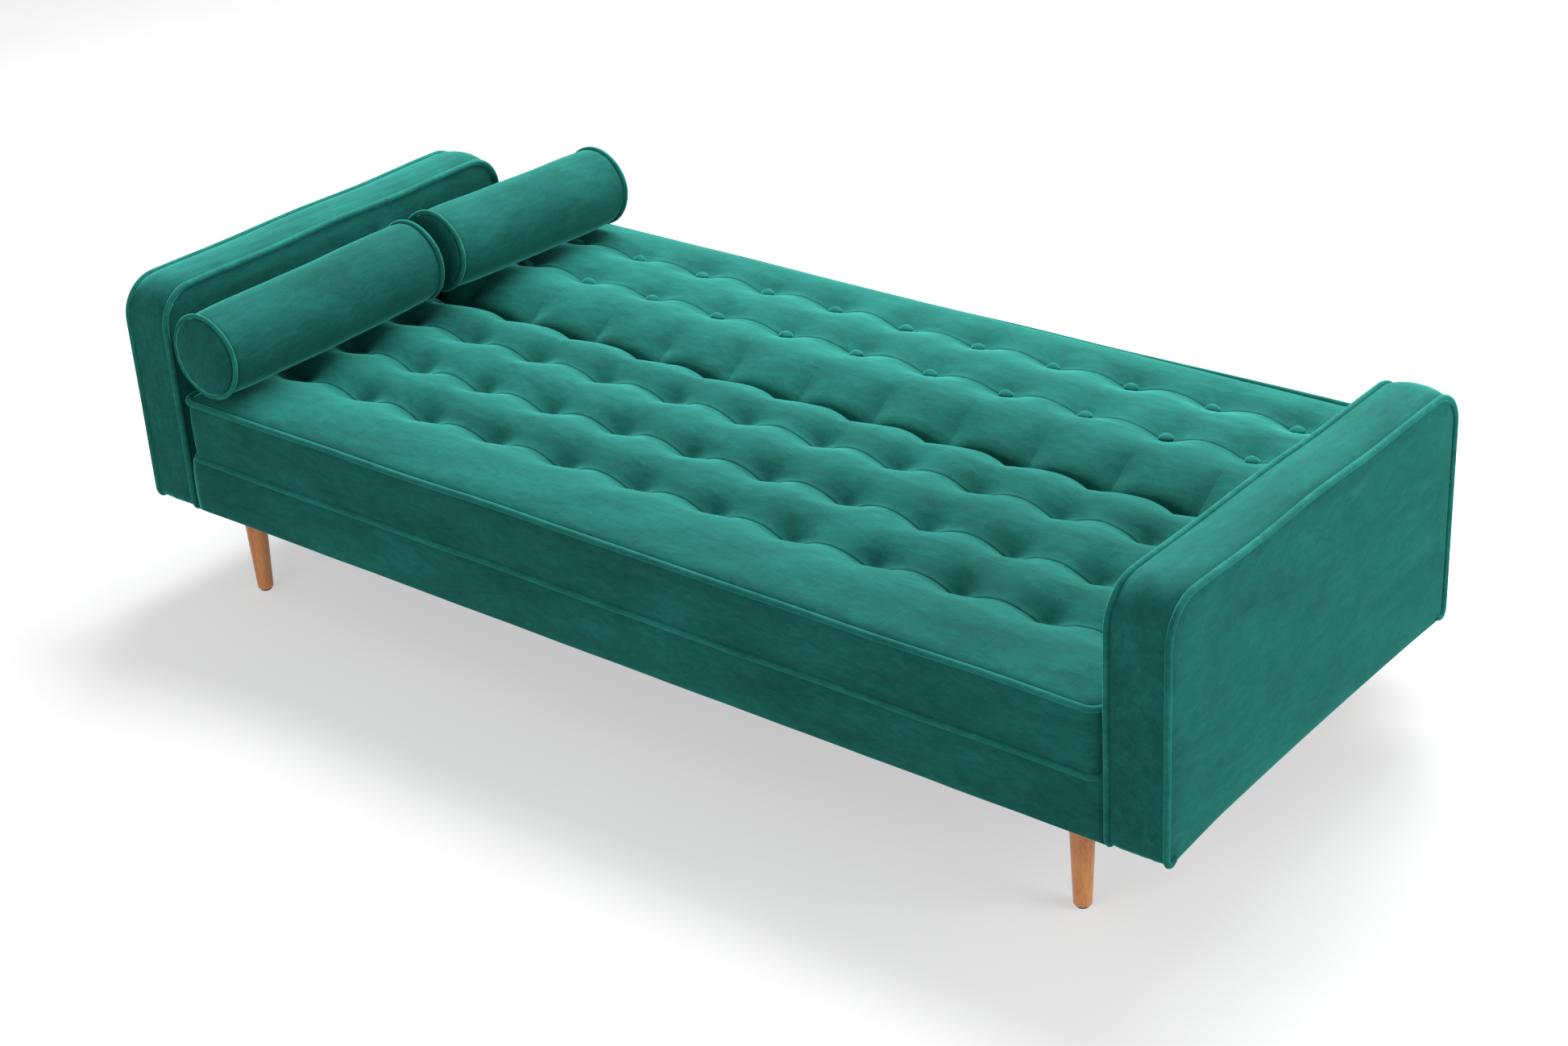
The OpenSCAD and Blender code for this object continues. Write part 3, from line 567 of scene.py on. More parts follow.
def sample(g, x, y, at_x, at_y):
    """Bilinear reading of a grid g on lines x and y at the crossings of at_x and at_y."""
    i = np.clip(np.searchsorted(x, at_x, side="right") - 1, 0, len(x) - 2)
    j = np.clip(np.searchsorted(y, at_y, side="right") - 1, 0, len(y) - 2)
    u = ((at_x - x[i]) / (x[i + 1] - x[i]))[None, :]
    v = ((at_y - y[j]) / (y[j + 1] - y[j]))[:, None]
    return ((1 - v) * ((1 - u) * g[np.ix_(j, i)] + u * g[np.ix_(j, i + 1)])
            + v * ((1 - u) * g[np.ix_(j + 1, i)] + u * g[np.ix_(j + 1, i + 1)]))


def nearest(values, marks):
    """Distance from each value to the nearest mark."""
    return np.min(np.abs(values[:, None] - np.array(marks)[None, :]), axis=1)


def even_lines(stops, step):
    """Evenly spaced lines that pass through every stop."""
    out = [stops[0]]
    for a, b in zip(stops[:-1], stops[1:]):
        count = max(1, round((b - a) / step))
        out.extend(a + (b - a) * (k + 1) / count for k in range(count))
    return np.array(out)


TUFT_STEPS = mm(0, 0.8, 1.8, 3.2, 5, 7.2, 10, 13.5, 17.5, 22, 27, 32.5, 38.5, 45, 52, 59.5, 67.5, 76)
EDGE_STEPS = mm(0.8, 2, 4, 7, 11, 16, 22, 29)


def blurred(drawn, x, y, soften, open_end):
    """The same draw-down with its sharp valleys rounded, as thick foam rounds them."""
    for axis, step in ((1, x[1] - x[0]), (0, (y[-1] - y[0]) / (len(y) - 1))):
        reach = int(3 * soften / step)
        kernel = np.exp(-0.5 * (np.arange(-reach, reach + 1) * step / soften) ** 2)
        kernel /= kernel.sum()
        mode = "edge" if open_end and axis == 0 else "reflect"
        pad = [(reach, reach) if k == axis else (0, 0) for k in range(2)]
        wide = np.pad(drawn, pad, mode=mode)
        drawn = np.apply_along_axis(lambda line: np.convolve(line, kernel, "valid"), axis, wide)
    return drawn


def tufted_height(at_x, at_y, half, y_low, y_high, rows, natural, depth, saddle, pull, reach, soften,
                  crease, bowl, rear_dip=0.0, near_dip=0.0, notch=2.0 * MM):
    """Height of a tufted surface at the crossings of at_x and at_y. Each row's seam is drawn down by
    `saddle`, and by `depth` at its buttons; `pull` is how fast the one becomes the other. `crease` is a sharp
    pinch and `bowl` a wide hollow at each button; `rear_dip` and `near_dip` draw the rolled edges down at the
    columns, and `notch` is how deep the seams themselves are sewn in."""
    x = even_lines([-half] + TUFT_X + [half], 4 * MM)
    x = np.linspace(-half, half, len(x))
    y = even_lines([y_low] + list(rows) + [y_high], 4 * MM)
    base = natural(x[None, :], y[:, None])
    z = base.copy()
    fixed = np.zeros(base.shape, bool)
    to_column = nearest(x, TUFT_X)
    ends = smoothstep((half - np.abs(x)) / (30 * MM))
    for row in rows:
        j = int(np.argmin(np.abs(y - row)))
        z[j] = base[j] - (saddle + (depth - saddle) * np.exp(-to_column / pull)) * (0.35 + 0.65 * ends)
        fixed[j] = True
    if rear_dip:
        z[-1] = base[-1] - 2 * rear_dip * np.exp(-to_column / pull)
    fixed[[0, -1]] = fixed[:, [0, -1]] = True
    drawn = blurred(base - settle(z, base, fixed, x, y, reach), x, y, soften, rear_dip > 0)
    height = sample(base - drawn, x, y, at_x, at_y)
    near_row, near_column = nearest(at_y, rows)[:, None], nearest(at_x, TUFT_X)[None, :]
    height = height - crease * np.exp(-np.hypot(near_column, 1.3 * near_row) / (9 * MM))
    height = height - bowl * np.exp(-(near_column ** 2 + near_row ** 2) / (40 * MM) ** 2)
    dip = np.exp(-(near_column / (30 * MM)) ** 1.4)
    height = height - rear_dip * dip * smoothstep((at_y - y_high + 80 * MM) / (60 * MM))[:, None]
    height = height - near_dip * dip * smoothstep((y_low + 90 * MM - at_y) / (70 * MM))[:, None]
    row_seam, column_seam = np.exp(-(near_row / (1.5 * MM)) ** 2), np.exp(-(near_column / (0.9 * MM)) ** 2)
    return height - notch * np.maximum(row_seam, 0.16 * column_seam)


def settle(start, base, fixed, x, y, reach, rounds=80, over=1.77):
    """Cloth drawn over foam: every free point settles between its neighbours and the foam's own height."""
    z = start.copy()
    wide = (reach / (x[1] - x[0])) ** 2
    below, above = y[1:-1] - y[:-2], y[2:] - y[1:-1]
    low = (2 * reach ** 2 / (below * (below + above)))[:, None]
    high = (2 * reach ** 2 / (above * (below + above)))[:, None]
    weight = 1 + 2 * wide + low + high
    j, i = np.mgrid[1:z.shape[0] - 1, 1:z.shape[1] - 1]
    free = ~fixed[1:-1, 1:-1]
    for _ in range(rounds):
        for parity in (0, 1):
            goal = (base[1:-1, 1:-1] + wide * (z[1:-1, :-2] + z[1:-1, 2:])
                    + low * z[:-2, 1:-1] + high * z[2:, 1:-1]) / weight
            chosen = free & ((i + j) % 2 == parity)
            inner = z[1:-1, 1:-1]
            inner[chosen] += over * (goal - inner)[chosen]
    return z


def skirt(loop, levels):
    """Rings below a loop of points. Each level is a height and an outward offset, for all or each of them."""
    normal = outward(loop[:, :2])
    rings = []
    for height, push in levels:
        height, push = np.broadcast_to(height, len(loop)), np.broadcast_to(push, len(loop))
        rings.append(np.column_stack([loop[:, :2] + normal * push[:, None], height]))
    return rings


# ---------- seat ----------

SEAT_CROWN = seat_high.z                 # highest part of the seat
SEAT_CORNER = 26 * MM
TUCK = 3.5 * MM                          # how far a panel's edge lies behind the middle of its cord


def rolled(t, depth):
    """Drop of a rolled edge, from `depth` at its foot (t is 0) to nothing where it meets the top (t is 1)."""
    return depth * (1 - np.sqrt(np.clip(1 - (1 - t) ** 2, 0, 1)))


def seat_natural(x, y):
    """Seat foam's own height: crowned, falling to the cords at the front and ends, and rolled at the rear."""
    front = np.clip((y - seat_low.y) / (125 * MM), 0, 1)
    ends = np.clip((SEAT_HALF - np.abs(x)) / (55 * MM), 0, 1)
    rear = np.clip((seat_high.y - y) / (84 * MM), 0, 1)
    to_cord = SEAT_CROWN + CROWN_RISE - PIPE_TOP
    drop_front = to_cord * (0.2 * (1 - front) ** 1.6 + 0.8 * np.exp((seat_low.y - y) / (13 * MM)))
    drop_ends = to_cord * (0.75 * (1 - ends) ** 2.2 + 0.25 * np.exp((np.abs(x) - SEAT_HALF) / (11 * MM)))
    puff = 7 * MM * np.exp(-((y - seat_low.y - 105 * MM) / (45 * MM)) ** 2)
    return SEAT_CROWN + CROWN_RISE + puff - np.maximum(drop_front, drop_ends) - rolled(rear, 52 * MM)


def panel_levels(loop, bottom, bulge, wave=0.0, ripple=None):
    """Levels of a boxed side that is pinched in at its two cords, most at the upper one, for skirt()."""
    levels = []
    for t in (0.015, 0.04, 0.08, 0.14, 0.22, 0.32, 0.44, 0.56, 0.68, 0.78, 0.86, 0.92, 0.96, 0.985, 1.0):
        height = loop[:, 2] * (1 - t) + bottom * t
        near = min(t, 3 * (1 - t))
        swell = (1 - math.exp(-near / 0.09)) * (0.75 + 0.25 * math.sin(math.pi * t))
        push = bulge * swell
        if ripple is not None:
            push = push + wave * ripple(loop[:, 0], loop[:, 1] + 3 * t) * math.sin(math.pi * t)
        levels.append((height, push))
    return levels


def seat_skew(y):
    """The cover lies a little askew: its columns drift towards the right arm at the front."""
    return 11 * MM * np.clip((0.05 - y) / 0.36, 0, 1)


def make_seat():
    """Seat cushion: tufted top, boxed front and ends, rolled rear edge."""
    half, front = SEAT_HALF - TUCK, seat_low.y + TUCK
    xs = lines(-half, half, TUFT_X, TUFT_STEPS, EDGE_STEPS)
    ys = lines(front, seat_high.y, SEAT_ROW_Y, TUFT_STEPS + mm(88, 102, 118, 136), EDGE_STEPS + mm(37, 46))
    depth = SEAT_CROWN + CROWN_RISE - (buttons_high.z - 5 * MM)
    z = tufted_height(xs, ys, half, front, seat_high.y, SEAT_ROW_Y, seat_natural, 1.35 * depth,
                      saddle=29 * MM, pull=30 * MM, reach=34 * MM, soften=13 * MM,
                      crease=7 * MM, bowl=8 * MM, rear_dip=16 * MM)
    a, b = np.meshgrid(xs, ys)
    inner = smoothstep((half - np.abs(a)) / (60 * MM)) * smoothstep((b - front) / (60 * MM))
    inner *= smoothstep((seat_high.y - b) / (40 * MM))
    z = z + inner * (1.0 * MM * waves(3, 0.11)(a, b) + 0.35 * MM * waves(4, 0.035)(a, b))
    rim = np.minimum(half - np.abs(a), b - front)
    z = z - 1.5 * MM * np.exp(-rim / (3 * MM))
    a = a + inner * (1.5 * MM * waves(11, 0.35)(a, b) + seat_skew(b))
    b = b + inner * 2.0 * MM * waves(12, 0.30)(a, b)
    corner = SEAT_CORNER - TUCK
    a, b = round_corners(a, b, ((-half, front), (half, seat_high.y)), (corner, corner, 4 * MM, 4 * MM))
    top = np.stack([a, b, z], axis=2)
    loop = rim_of(top)
    frontness = smoothstep((seat_low.y + 0.08 - loop[:, 1]) / 0.08)
    side = smoothstep((CORD_END - loop[:, 1]) / 0.03)
    bulge = 4.6 * MM * frontness + 2.8 * MM * (1 - frontness) * side - 1.5 * MM * (1 - side)
    levels = panel_levels(loop, PIPE_LOW, bulge, 0.6 * MM * frontness, waves(21, 0.12))
    levels += [(seat_low.z + 1 * MM, 1 * MM), (seat_low.z, -6 * MM)]
    piece = add_mesh("seat_cushion", closed_pad(top, skirt(loop, levels)), VELVET, "base")
    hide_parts("seat_cover", "seat_foam")


def arc(centre, radius, start, end, steps):
    """Points of an arc in a plane, angles in degrees."""
    angles = np.radians(np.linspace(start, end, steps))
    return np.column_stack([centre[0] + radius * np.cos(angles), centre[1] + radius * np.sin(angles)])


def straight(a, b, step=12 * MM):
    """Points from a to b without b."""
    a, b = np.array(a, float), np.array(b, float)
    count = max(2, int(np.linalg.norm(b - a) / step))
    return a + (b - a) * np.linspace(0, 1, count, endpoint=False)[:, None]


def outline(turns, start=None, end=None):
    """A path through quarter turns, each (centre, radius, first angle, steps), from and to the ends given."""
    parts, at = [], start
    for centre, radius, angle, steps in turns:
        turn = arc(centre, radius, angle, angle + 90, steps)
        if at is not None:
            parts.append(straight(at, turn[0]))
        parts.append(turn[:-1])
        at = turn[-1]
    return np.vstack(parts + ([[at]] if end is None else [straight(at, end), [end]]))


def make_seat_piping():
    """The two cords round the seat's front and ends."""
    centre_x, centre_y = SEAT_HALF - SEAT_CORNER, seat_low.y + SEAT_CORNER
    turns = [((-centre_x, centre_y), SEAT_CORNER, 180, 12), ((centre_x, centre_y), SEAT_CORNER, 270, 12)]
    plan = outline(turns, (-SEAT_HALF, CORD_END), (SEAT_HALF, CORD_END))
    parts = []
    wander = waves(31, 0.4)
    for height in (PIPE_TOP, PIPE_LOW):
        z = height + 1.2 * MM * wander(plan[:, 0], plan[:, 1] + height * 9)
        parts.append(tube(np.column_stack([plan, z]), CORD_R))
    piece = add_mesh("seat_cord", joined(parts), PIPING_TONE_AND_HIGHLIGHT, "base")
    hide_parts("seat_piping")


def button_shape():
    """Covered button: a dome with a tucked rim."""
    profile = [(0, -2 * MM)]
    for t in np.linspace(0.15, 1, 5):
        profile.append((BUTTON_R * t * 0.94, -2 * MM + 0.4 * MM * t))
    for angle in np.radians([-30, 0, 30]):
        profile.append((BUTTON_R - BUTTON_RIM + BUTTON_RIM * math.cos(angle),
                        0.2 * MM + 1.6 * MM * math.sin(angle)))
    for t in np.linspace(0.9, 0.1, 7):
        profile.append((BUTTON_R * t, BUTTON_RIM + BUTTON_RISE * (1 - t ** 2.2)))
    profile.append((0, BUTTON_RIM + BUTTON_RISE))
    return lathe(profile, 28)


def make_buttons(name, replaced, rows, top, body, place, seed, skew=None):
    """Rows of covered buttons, a little tilted and shifted, whose crowns reach the height `top`."""
    draw = random.Random(seed)
    parts = []
    points, faces = button_shape()
    for y in rows:
        for x in TUFT_X:
            tilt_x, tilt_y = (Matrix.Rotation(draw.uniform(-0.10, 0.10), 4, axis) for axis in "XY")
            shift_x, shift_y = (draw.uniform(-0.8, 0.8) * MM for _ in range(2))
            x_here = x + (skew(y) if skew else 0)
            at = Matrix.Translation((x_here + shift_x, y + shift_y, top - BUTTON_RIM - BUTTON_RISE))
            at = at @ (tilt_x @ tilt_y)
            parts.append(([at @ Vector(p) for p in points], faces))
    piece = add_mesh(name, joined(parts), PIPING_TONE_AND_HIGHLIGHT, body, place)
    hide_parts(replaced)


# ---------- back, in its own level frame ----------

BACK_CROWN = back_high.z


def back_natural(x, y):
    """Back foam's own height: rolled down to the gutter, falling a little to its far edge and ends."""
    near = np.clip((y - back_low.y) / (112 * MM), 0, 1)
    far = np.clip((back_high.y - y) / (70 * MM), 0, 1)
    ends = np.clip((SEAT_HALF - np.abs(x)) / (45 * MM), 0, 1)
    return (BACK_CROWN + CROWN_RISE - rolled(near, 50 * MM)
            - 8 * MM * (1 - far) ** 2.2 - 12 * MM * (1 - ends) ** 2.4)


def make_back():
    """Back cushion: tufted, rolled down to the gutter and square at the piped far edge."""
    half = SEAT_HALF - 1.5 * MM
    xs = lines(-half, half, TUFT_X, TUFT_STEPS, EDGE_STEPS)
    ys = lines(back_low.y, back_high.y, BACK_ROW_Y, TUFT_STEPS + mm(88, 102, 118, 134, 150), EDGE_STEPS)
    depth = BACK_CROWN + CROWN_RISE - (back_buttons_high.z - 4 * MM)
    z = tufted_height(xs, ys, half, back_low.y, back_high.y, BACK_ROW_Y, back_natural, 1.3 * depth,
                      saddle=16 * MM, pull=34 * MM, reach=36 * MM, soften=14 * MM,
                      crease=2 * MM, bowl=6 * MM, near_dip=18 * MM)
    a, b = np.meshgrid(xs, ys)
    inner = smoothstep((half - np.abs(a)) / (60 * MM)) * smoothstep((b - back_low.y) / (60 * MM))
    inner *= smoothstep((back_high.y - b) / (50 * MM))
    z = z + inner * (1.0 * MM * waves(5, 0.12)(a, b) + 0.3 * MM * waves(6, 0.035)(a, b))
    a = a + inner * 2.2 * MM * waves(13, 0.35)(a, b)
    b = b + inner * 2.2 * MM * waves(14, 0.30)(a, b)
    left = np.clip((half - a) / (2 * half), 0, 1)
    far = smoothstep((b - back_high.y + 0.12) / 0.12)
    b, z = b - 8 * MM * left * far, z - 4 * MM * left * far
    top = np.stack([a, b, z], axis=2)
    loop = rim_of(top)
    far = smoothstep((loop[:, 1] - (back_high.y - 0.05)) / 0.05)
    levels = panel_levels(loop, back_low.z + 3 * MM, 3.0 * MM * far + 1.2 * MM * (1 - far))
    levels.append((back_low.z, -0.3 * MM))
    piece = add_mesh("back_cushion", closed_pad(top, skirt(loop, levels)), VELVET, "back", IN_BACK)
    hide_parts("back_cover", "back_foam")


def make_back_piping():
    """The cord along the back's far edge, dropping with the edge towards the left."""
    reach = SEAT_HALF - 6 * MM
    start, end = ((x, back_high.y, BACK_CROWN - CORD_R) for x in (-reach, reach))
    path = np.vstack([straight(start, end), [end]])
    left = (reach - path[:, 0]) / (2 * reach)
    path[:, 1] += 1.5 * MM - 8 * MM * left
    path[:, 2] += 0.8 * MM * waves(33, 0.4)(path[:, 0], path[:, 1]) - 9 * MM * smoothstep(1.6 * left)
    piece = add_mesh("back_cord", tube(path, 0.8 * CORD_R), PIPING_TONE_AND_HIGHLIGHT, "back", IN_BACK)
    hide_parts("back_piping")


# ---------- arms ----------

ARM_TOP_R = 62 * MM
ARM_LOW_R = 22 * MM
ARM_BOX = ((arm_low.y, arm_low.z), (arm_high.y, arm_high.z))


def arm_shape(y, z):
    """The arm outline's irregularities: a bottom edge that arches between drooping corners, a soft top."""
    u = (y - arm_low.y) / (arm_high.y - arm_low.y)
    v = (z - arm_low.z) / (arm_high.z - arm_low.z)
    middle = np.clip(np.sin(math.pi * np.clip(u, 0, 1)), 0, 1)
    arch = (9 * middle ** 0.6 - 5 * (1 - smoothstep(u / 0.2))) * MM * (1 - v) ** 3
    soft = 1.6 * MM * np.sin(2.3 * TAU * u + 0.8) * v ** 3 * middle
    return y - 9 * MM * smoothstep(u), z + arch + soft - 7 * MM * smoothstep(u) * v ** 2


def make_arm(side, name):
    """Slab arm: a padded panel on each face and a crowned strip between, made in (y, z, distance out)."""
    sign = 1 if side == "right" else -1
    a, b, inset = panel_grid(ARM_BOX, mm(1, 3, 6, 10, 16, 24, 34, 46, 62, 80), 0.1, 0.02)
    u = (a - a.min()) / (a.max() - a.min())
    v = (b - b.min()) / (b.max() - b.min())
    a, b = round_corners(a, b, ARM_BOX, (ARM_LOW_R, ARM_LOW_R, ARM_TOP_R, ARM_TOP_R))
    a, b = arm_shape(a, b)
    ripple = waves(41 if sign > 0 else 42, 0.22)

    def panel(crown, sign_out):
        swell = crown * (1 - np.exp(-inset / (14 * MM)))
        swell = swell + 1.5 * MM * np.sin(math.pi * u) * np.sin(math.pi * v)
        return swell + 0.5 * MM * ripple(a + 5 * sign_out, b) * smoothstep(inset / (60 * MM))

    outer = ARM_OUT - 1.5 * MM + panel(4.0 * MM, 1)
    inner = ARM_IN + 1.5 * MM - panel(2.2 * MM, -1)
    top = np.stack([a, b, outer], axis=2)
    bottom = np.stack([a, b, inner], axis=2)
    loop_out, loop_in = rim_of(top), rim_of(bottom)
    normal = outward(loop_out[:, :2])
    up = np.clip(normal[:, 1], 0, 1)
    crown = (2.0 + 5.0 * up * (1 + 2 * np.clip(normal[:, 0], 0, 1))) * MM
    crown = crown * (1 - 0.6 * np.clip(-normal[:, 1], 0, 1))
    rings = []
    count = 18
    soft = waves(43 if sign > 0 else 44, 0.16)
    for k in range(1, count):
        t = k / count
        push = crown * (1 - abs(2 * t - 1) ** 2.4) - 1.0 * MM * math.exp(-min(t, 1 - t) * 40)
        push = push + 0.6 * MM * soft(loop_out[:, 0] + 4 * t, loop_out[:, 1]) * math.sin(math.pi * t)
        across = loop_out[:, 2] * (1 - t) + loop_in[:, 2] * t
        rings.append(np.column_stack([loop_out[:, :2] + normal * push[:, None], across]))
    points, faces = closed_pad(top, rings, bottom)
    placed = [(sign * p[2], p[0], p[1]) for p in points]
    if sign < 0:
        faces = [face[::-1] for face in faces]
    piece = add_mesh(name, (placed, faces), VELVET_ARM, "base")
    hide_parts(f"arm_cover_{side}")


def arm_path():
    """Outline of an arm in (y, z), from its rear foot over the top to its front foot, shaped as its cover."""
    (y0, z0), (y1, z1) = ARM_BOX
    t, r = ARM_TOP_R, ARM_LOW_R
    plan = outline([((y1 - r, z0 + r), r, 270, 10), ((y1 - t, z1 - t), t, 0, 16),
                    ((y0 + t, z1 - t), t, 90, 16), ((y0 + r, z0 + r), r, 180, 10)])
    path = np.column_stack(arm_shape(plan[:, 0], plan[:, 1]))
    tuck = np.array([12, 8, 4.8, 2.4, 0.9]) * MM
    path[:len(tuck), 1] += tuck
    path[-len(tuck):, 1] += tuck[::-1]
    return path


def make_arm_piping(side):
    """An arm's inner and outer cord."""
    sign = 1 if side == "right" else -1
    plan = arm_path()
    parts = []
    for k, x in enumerate((ARM_IN, ARM_OUT)):
        wander = waves(51 + k + (2 if sign > 0 else 0), 0.3)
        shift = 0.7 * MM * wander(plan[:, 0], plan[:, 1])
        path = np.column_stack([sign * (x + shift), plan])
        parts.append(tube(path, CORD_R))
    piece = add_mesh(f"arm_cord_{side}", joined(parts), PIPING_TONE_AND_HIGHLIGHT, "base")
    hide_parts(f"arm_piping_{side}")


# ---------- base wraps and dust cloth ----------


def wrap(name, node, face_y, inward):
    """Padded velvet strip over a rail, with a soft lower edge and a return. `inward` is +1 or -1 in Y."""
    low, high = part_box(node)
    thick = 4 * MM
    turn = 20 * MM
    under = 1.8 * MM
    height = high.z - low.z
    section = []
    for t in (0, 0.03, 0.06, 0.1, 0.15, 0.22, 0.3, 0.4, 0.5, 0.6, 0.7, 0.8, 0.9, 1.0):
        recess = 3.4 * MM * math.exp(-t * height / (13 * MM))
        section.append((recess - 1.6 * MM * math.sin(math.pi * t) ** 0.7, high.z - (height - thick) * t))
    for angle in np.radians([20, 45, 70]):
        section.append((thick - thick * math.cos(angle), low.z + thick - thick * math.sin(angle)))
    flap, lip = 30 * MM, 0.7 * MM
    section += [(thick, low.z), (thick + turn * 0.5, low.z), (thick + turn, low.z + 0.2 * MM),
                (thick + turn, low.z + under), (thick + 1 * MM, low.z + under), (thick, low.z + 6 * MM),
                (thick, high.z + 0.1 * MM), (thick + flap, high.z + 0.1 * MM), (thick + flap, high.z + lip),
                (thick * 0.6, high.z + lip)]
    stations = np.linspace(low.x, high.x, 150)
    ripple, buckle = waves(61 + int(inward), 0.17), waves(63 + int(inward), 0.06)
    points = []
    for x in stations:
        for depth, z in section:
            on_face = 1.0 if depth < 3.8 * MM and z < high.z else 0.0
            swell = on_face * (0.5 * ripple(x, z) + 0.15 * buckle(x, z)) * MM
            points.append((x, face_y + inward * (depth + swell), z))
    faces = sleeve(len(stations), len(section))
    if inward < 0:
        faces = [face[::-1] for face in faces]
    piece = add_mesh(name, (points, faces), VELVET, "base")
    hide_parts(node)


def make_dust_cloth():
    """Thin cloth under the base, slack between its staples, cut out round the leg plates."""
    low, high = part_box("dust_cloth")
    plates_low, plates_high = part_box("leg_plates")
    half_plate, window = 32 * MM, 66 * MM
    centres, found = [], []
    for k in (0, 1):
        centres.append((plates_low[k] + half_plate, plates_high[k] - half_plate))
        sides = [centre + s * window / 2 for centre in centres[k] for s in (-1, 1)]
        found.append(even_lines(sorted([low[k], high[k]] + sides), 18 * MM))
    a, b = np.meshgrid(*found)
    edge = edge_distance(a, b)
    z = low.z + 0.4 * MM - 2.5 * MM * smoothstep(edge / (120 * MM))
    z = z - 0.5 * MM * (1 + waves(71, 0.2)(a, b)) * smoothstep(edge / (60 * MM))
    points = np.stack([a, b, z], axis=2).reshape(-1, 3)

    def in_window(face):
        middle = points[list(face)].mean(axis=0)
        return all(min(abs(middle[k] - centre) for centre in centres[k]) < window / 2 for k in (0, 1))

    faces = [face[:1] + face[:0:-1] for face in cells(*a.shape) if not in_window(face)]
    piece = add_mesh("under_cloth", (points, faces), MATERIALS["dust_cloth"], "base")
    thick = piece.modifiers.new("thickness", "SOLIDIFY")
    thick.thickness = 0.4 * MM
    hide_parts("dust_cloth")


def make_back_panel():
    """Upholstered board that closes the back's outside, with rounded edges and a slight crown."""
    box = ((panel_low.x, panel_low.y), (panel_high.x, panel_high.y))
    a, b, inset = panel_grid(box, mm(0.6, 1.5, 3, 6, 12, 24, 48), 0.06, 0.03)
    a, b = round_corners(a, b, box, (6 * MM,) * 4)
    face = panel_low.z + 3.0 * MM * np.exp(-inset / (5 * MM)) + 0.3 * MM * waves(72, 0.15)(a, b)
    face = face - 1.5 * MM * smoothstep(inset / (80 * MM))
    under = np.stack([a, b, face], axis=2)
    above = np.stack([a, b, np.full(a.shape, panel_high.z)], axis=2)
    rounded = panel_low.z + 3 * MM
    levels = [(panel_high.z * (1 - t) + rounded * t, push * MM) for t, push in ((0.3, 0.3), (0.6, 0.4))]
    pad = closed_pad(above, skirt(rim_of(above), levels), under)
    piece = add_mesh("back_board", pad, VELVET, "back", IN_BACK)
    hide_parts("back_outer_panel")


# ---------- bolsters ----------

RING_R = 4 * MM
BOLSTER_R = 71.5 * MM


def bolster(name, filling, cover, piping, body, place, length, seed):
    """Stuffed roll with domed, piped ends and puckered seams. It lies along +Y from its front ring."""
    draw = random.Random(seed)
    puckers = [(draw.randint(9, 34), draw.uniform(0, TAU), draw.uniform(0.3, 1.0)) for _ in range(9)]
    lumps = waves(seed + 1, 0.16)
    sag = 3.0 * MM
    dome = 10 * MM
    neck = BOLSTER_R - RING_R - 0.8 * MM
    flat_z = -(BOLSTER_R + RING_R) + 0.6 * MM

    def gather(angle, seam):
        total = sum(w * math.sin(k * angle + p) for k, p, w in puckers)
        return 0.22 * MM * total * math.exp(-abs(seam) / (13 * MM))

    profile = [(0, -dome)]
    for t in np.linspace(0.08, 1, 13):
        profile.append((neck * t, -dome * (1 - t ** 2.3) - 0.001 * MM))
    profile.append((neck - 0.6 * MM, RING_R))
    near = [2 * RING_R + step for step in mm(1, 2.5, 4.5, 7, 10, 14, 19, 26, 36, 50, 70)]
    middle = list(np.linspace(near[-1], length - near[-1], 14)[1:-1])
    for y in near + middle + [length - n for n in reversed(near)]:
        inside = min(y, length - y) - 2 * RING_R
        swell = 1.4 * MM * smoothstep(inside / (60 * MM)) - 2.4 * MM * math.exp(-inside / (3 * MM))
        profile.append((BOLSTER_R + float(swell), y))
    profile.append((neck - 0.6 * MM, length - RING_R))
    for t in np.linspace(1, 0.08, 13):
        profile.append((neck * t, length + dome * (1 - t ** 2.3)))
    profile.append((0, length + dome))
    points, faces = lathe(profile, 112)
    shaped = []
    for p in points:
        radius = math.hypot(p[0], p[1])
        angle = math.atan2(p[1], p[0])
        y = y_out = p[2]
        between_cords = 2 * RING_R < y < length - 2 * RING_R
        if between_cords:
            radius += gather(angle, min(y, length - y) - 2 * RING_R) + 0.8 * MM * lumps(y, angle * 0.05)
        else:
            end = 1 if y > length / 2 else -1
            fold = gather(angle, (neck - radius) * 0.7) * 1.5
            y_out = y + end * fold * min(1.0, radius / (20 * MM))
        x, z = radius * math.cos(angle), radius * math.sin(angle)
        if between_cords:
            along = math.sin(math.pi * y / length) ** 0.5
            z = z - sag * along * (0.6 + 0.4 * (z < 0))
            if z < flat_z + 5 * MM:
                z = flat_z + 5 * MM * math.exp((z - flat_z - 5 * MM) / (5 * MM))
        shaped.append((x, y_out, z))
    faces = [face[::-1] for face in faces]
    roll = add_mesh(name, (shaped, faces), VELVET_BOLSTER_PAINTED_SHADE, body, place)
    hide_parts(cover, filling)
    rings = []
    for y in (RING_R + 0.2 * MM, length - RING_R - 0.2 * MM):
        angles = np.linspace(0, TAU, 96, endpoint=False)
        wobble = 0.5 * MM * np.sin(3 * angles + seed) + 0.4 * MM * np.sin(5 * angles)
        r = BOLSTER_R + 0.4 * MM * np.sin(2 * angles + seed)
        path = np.column_stack([r * np.cos(angles), y + wobble, r * np.sin(angles)])
        rings.append(tube(path, RING_R, closed=True))
    cord = add_mesh(name + "_cord", joined(rings), PIPING_TONE_AND_HIGHLIGHT, body, place)
    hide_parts(piping)


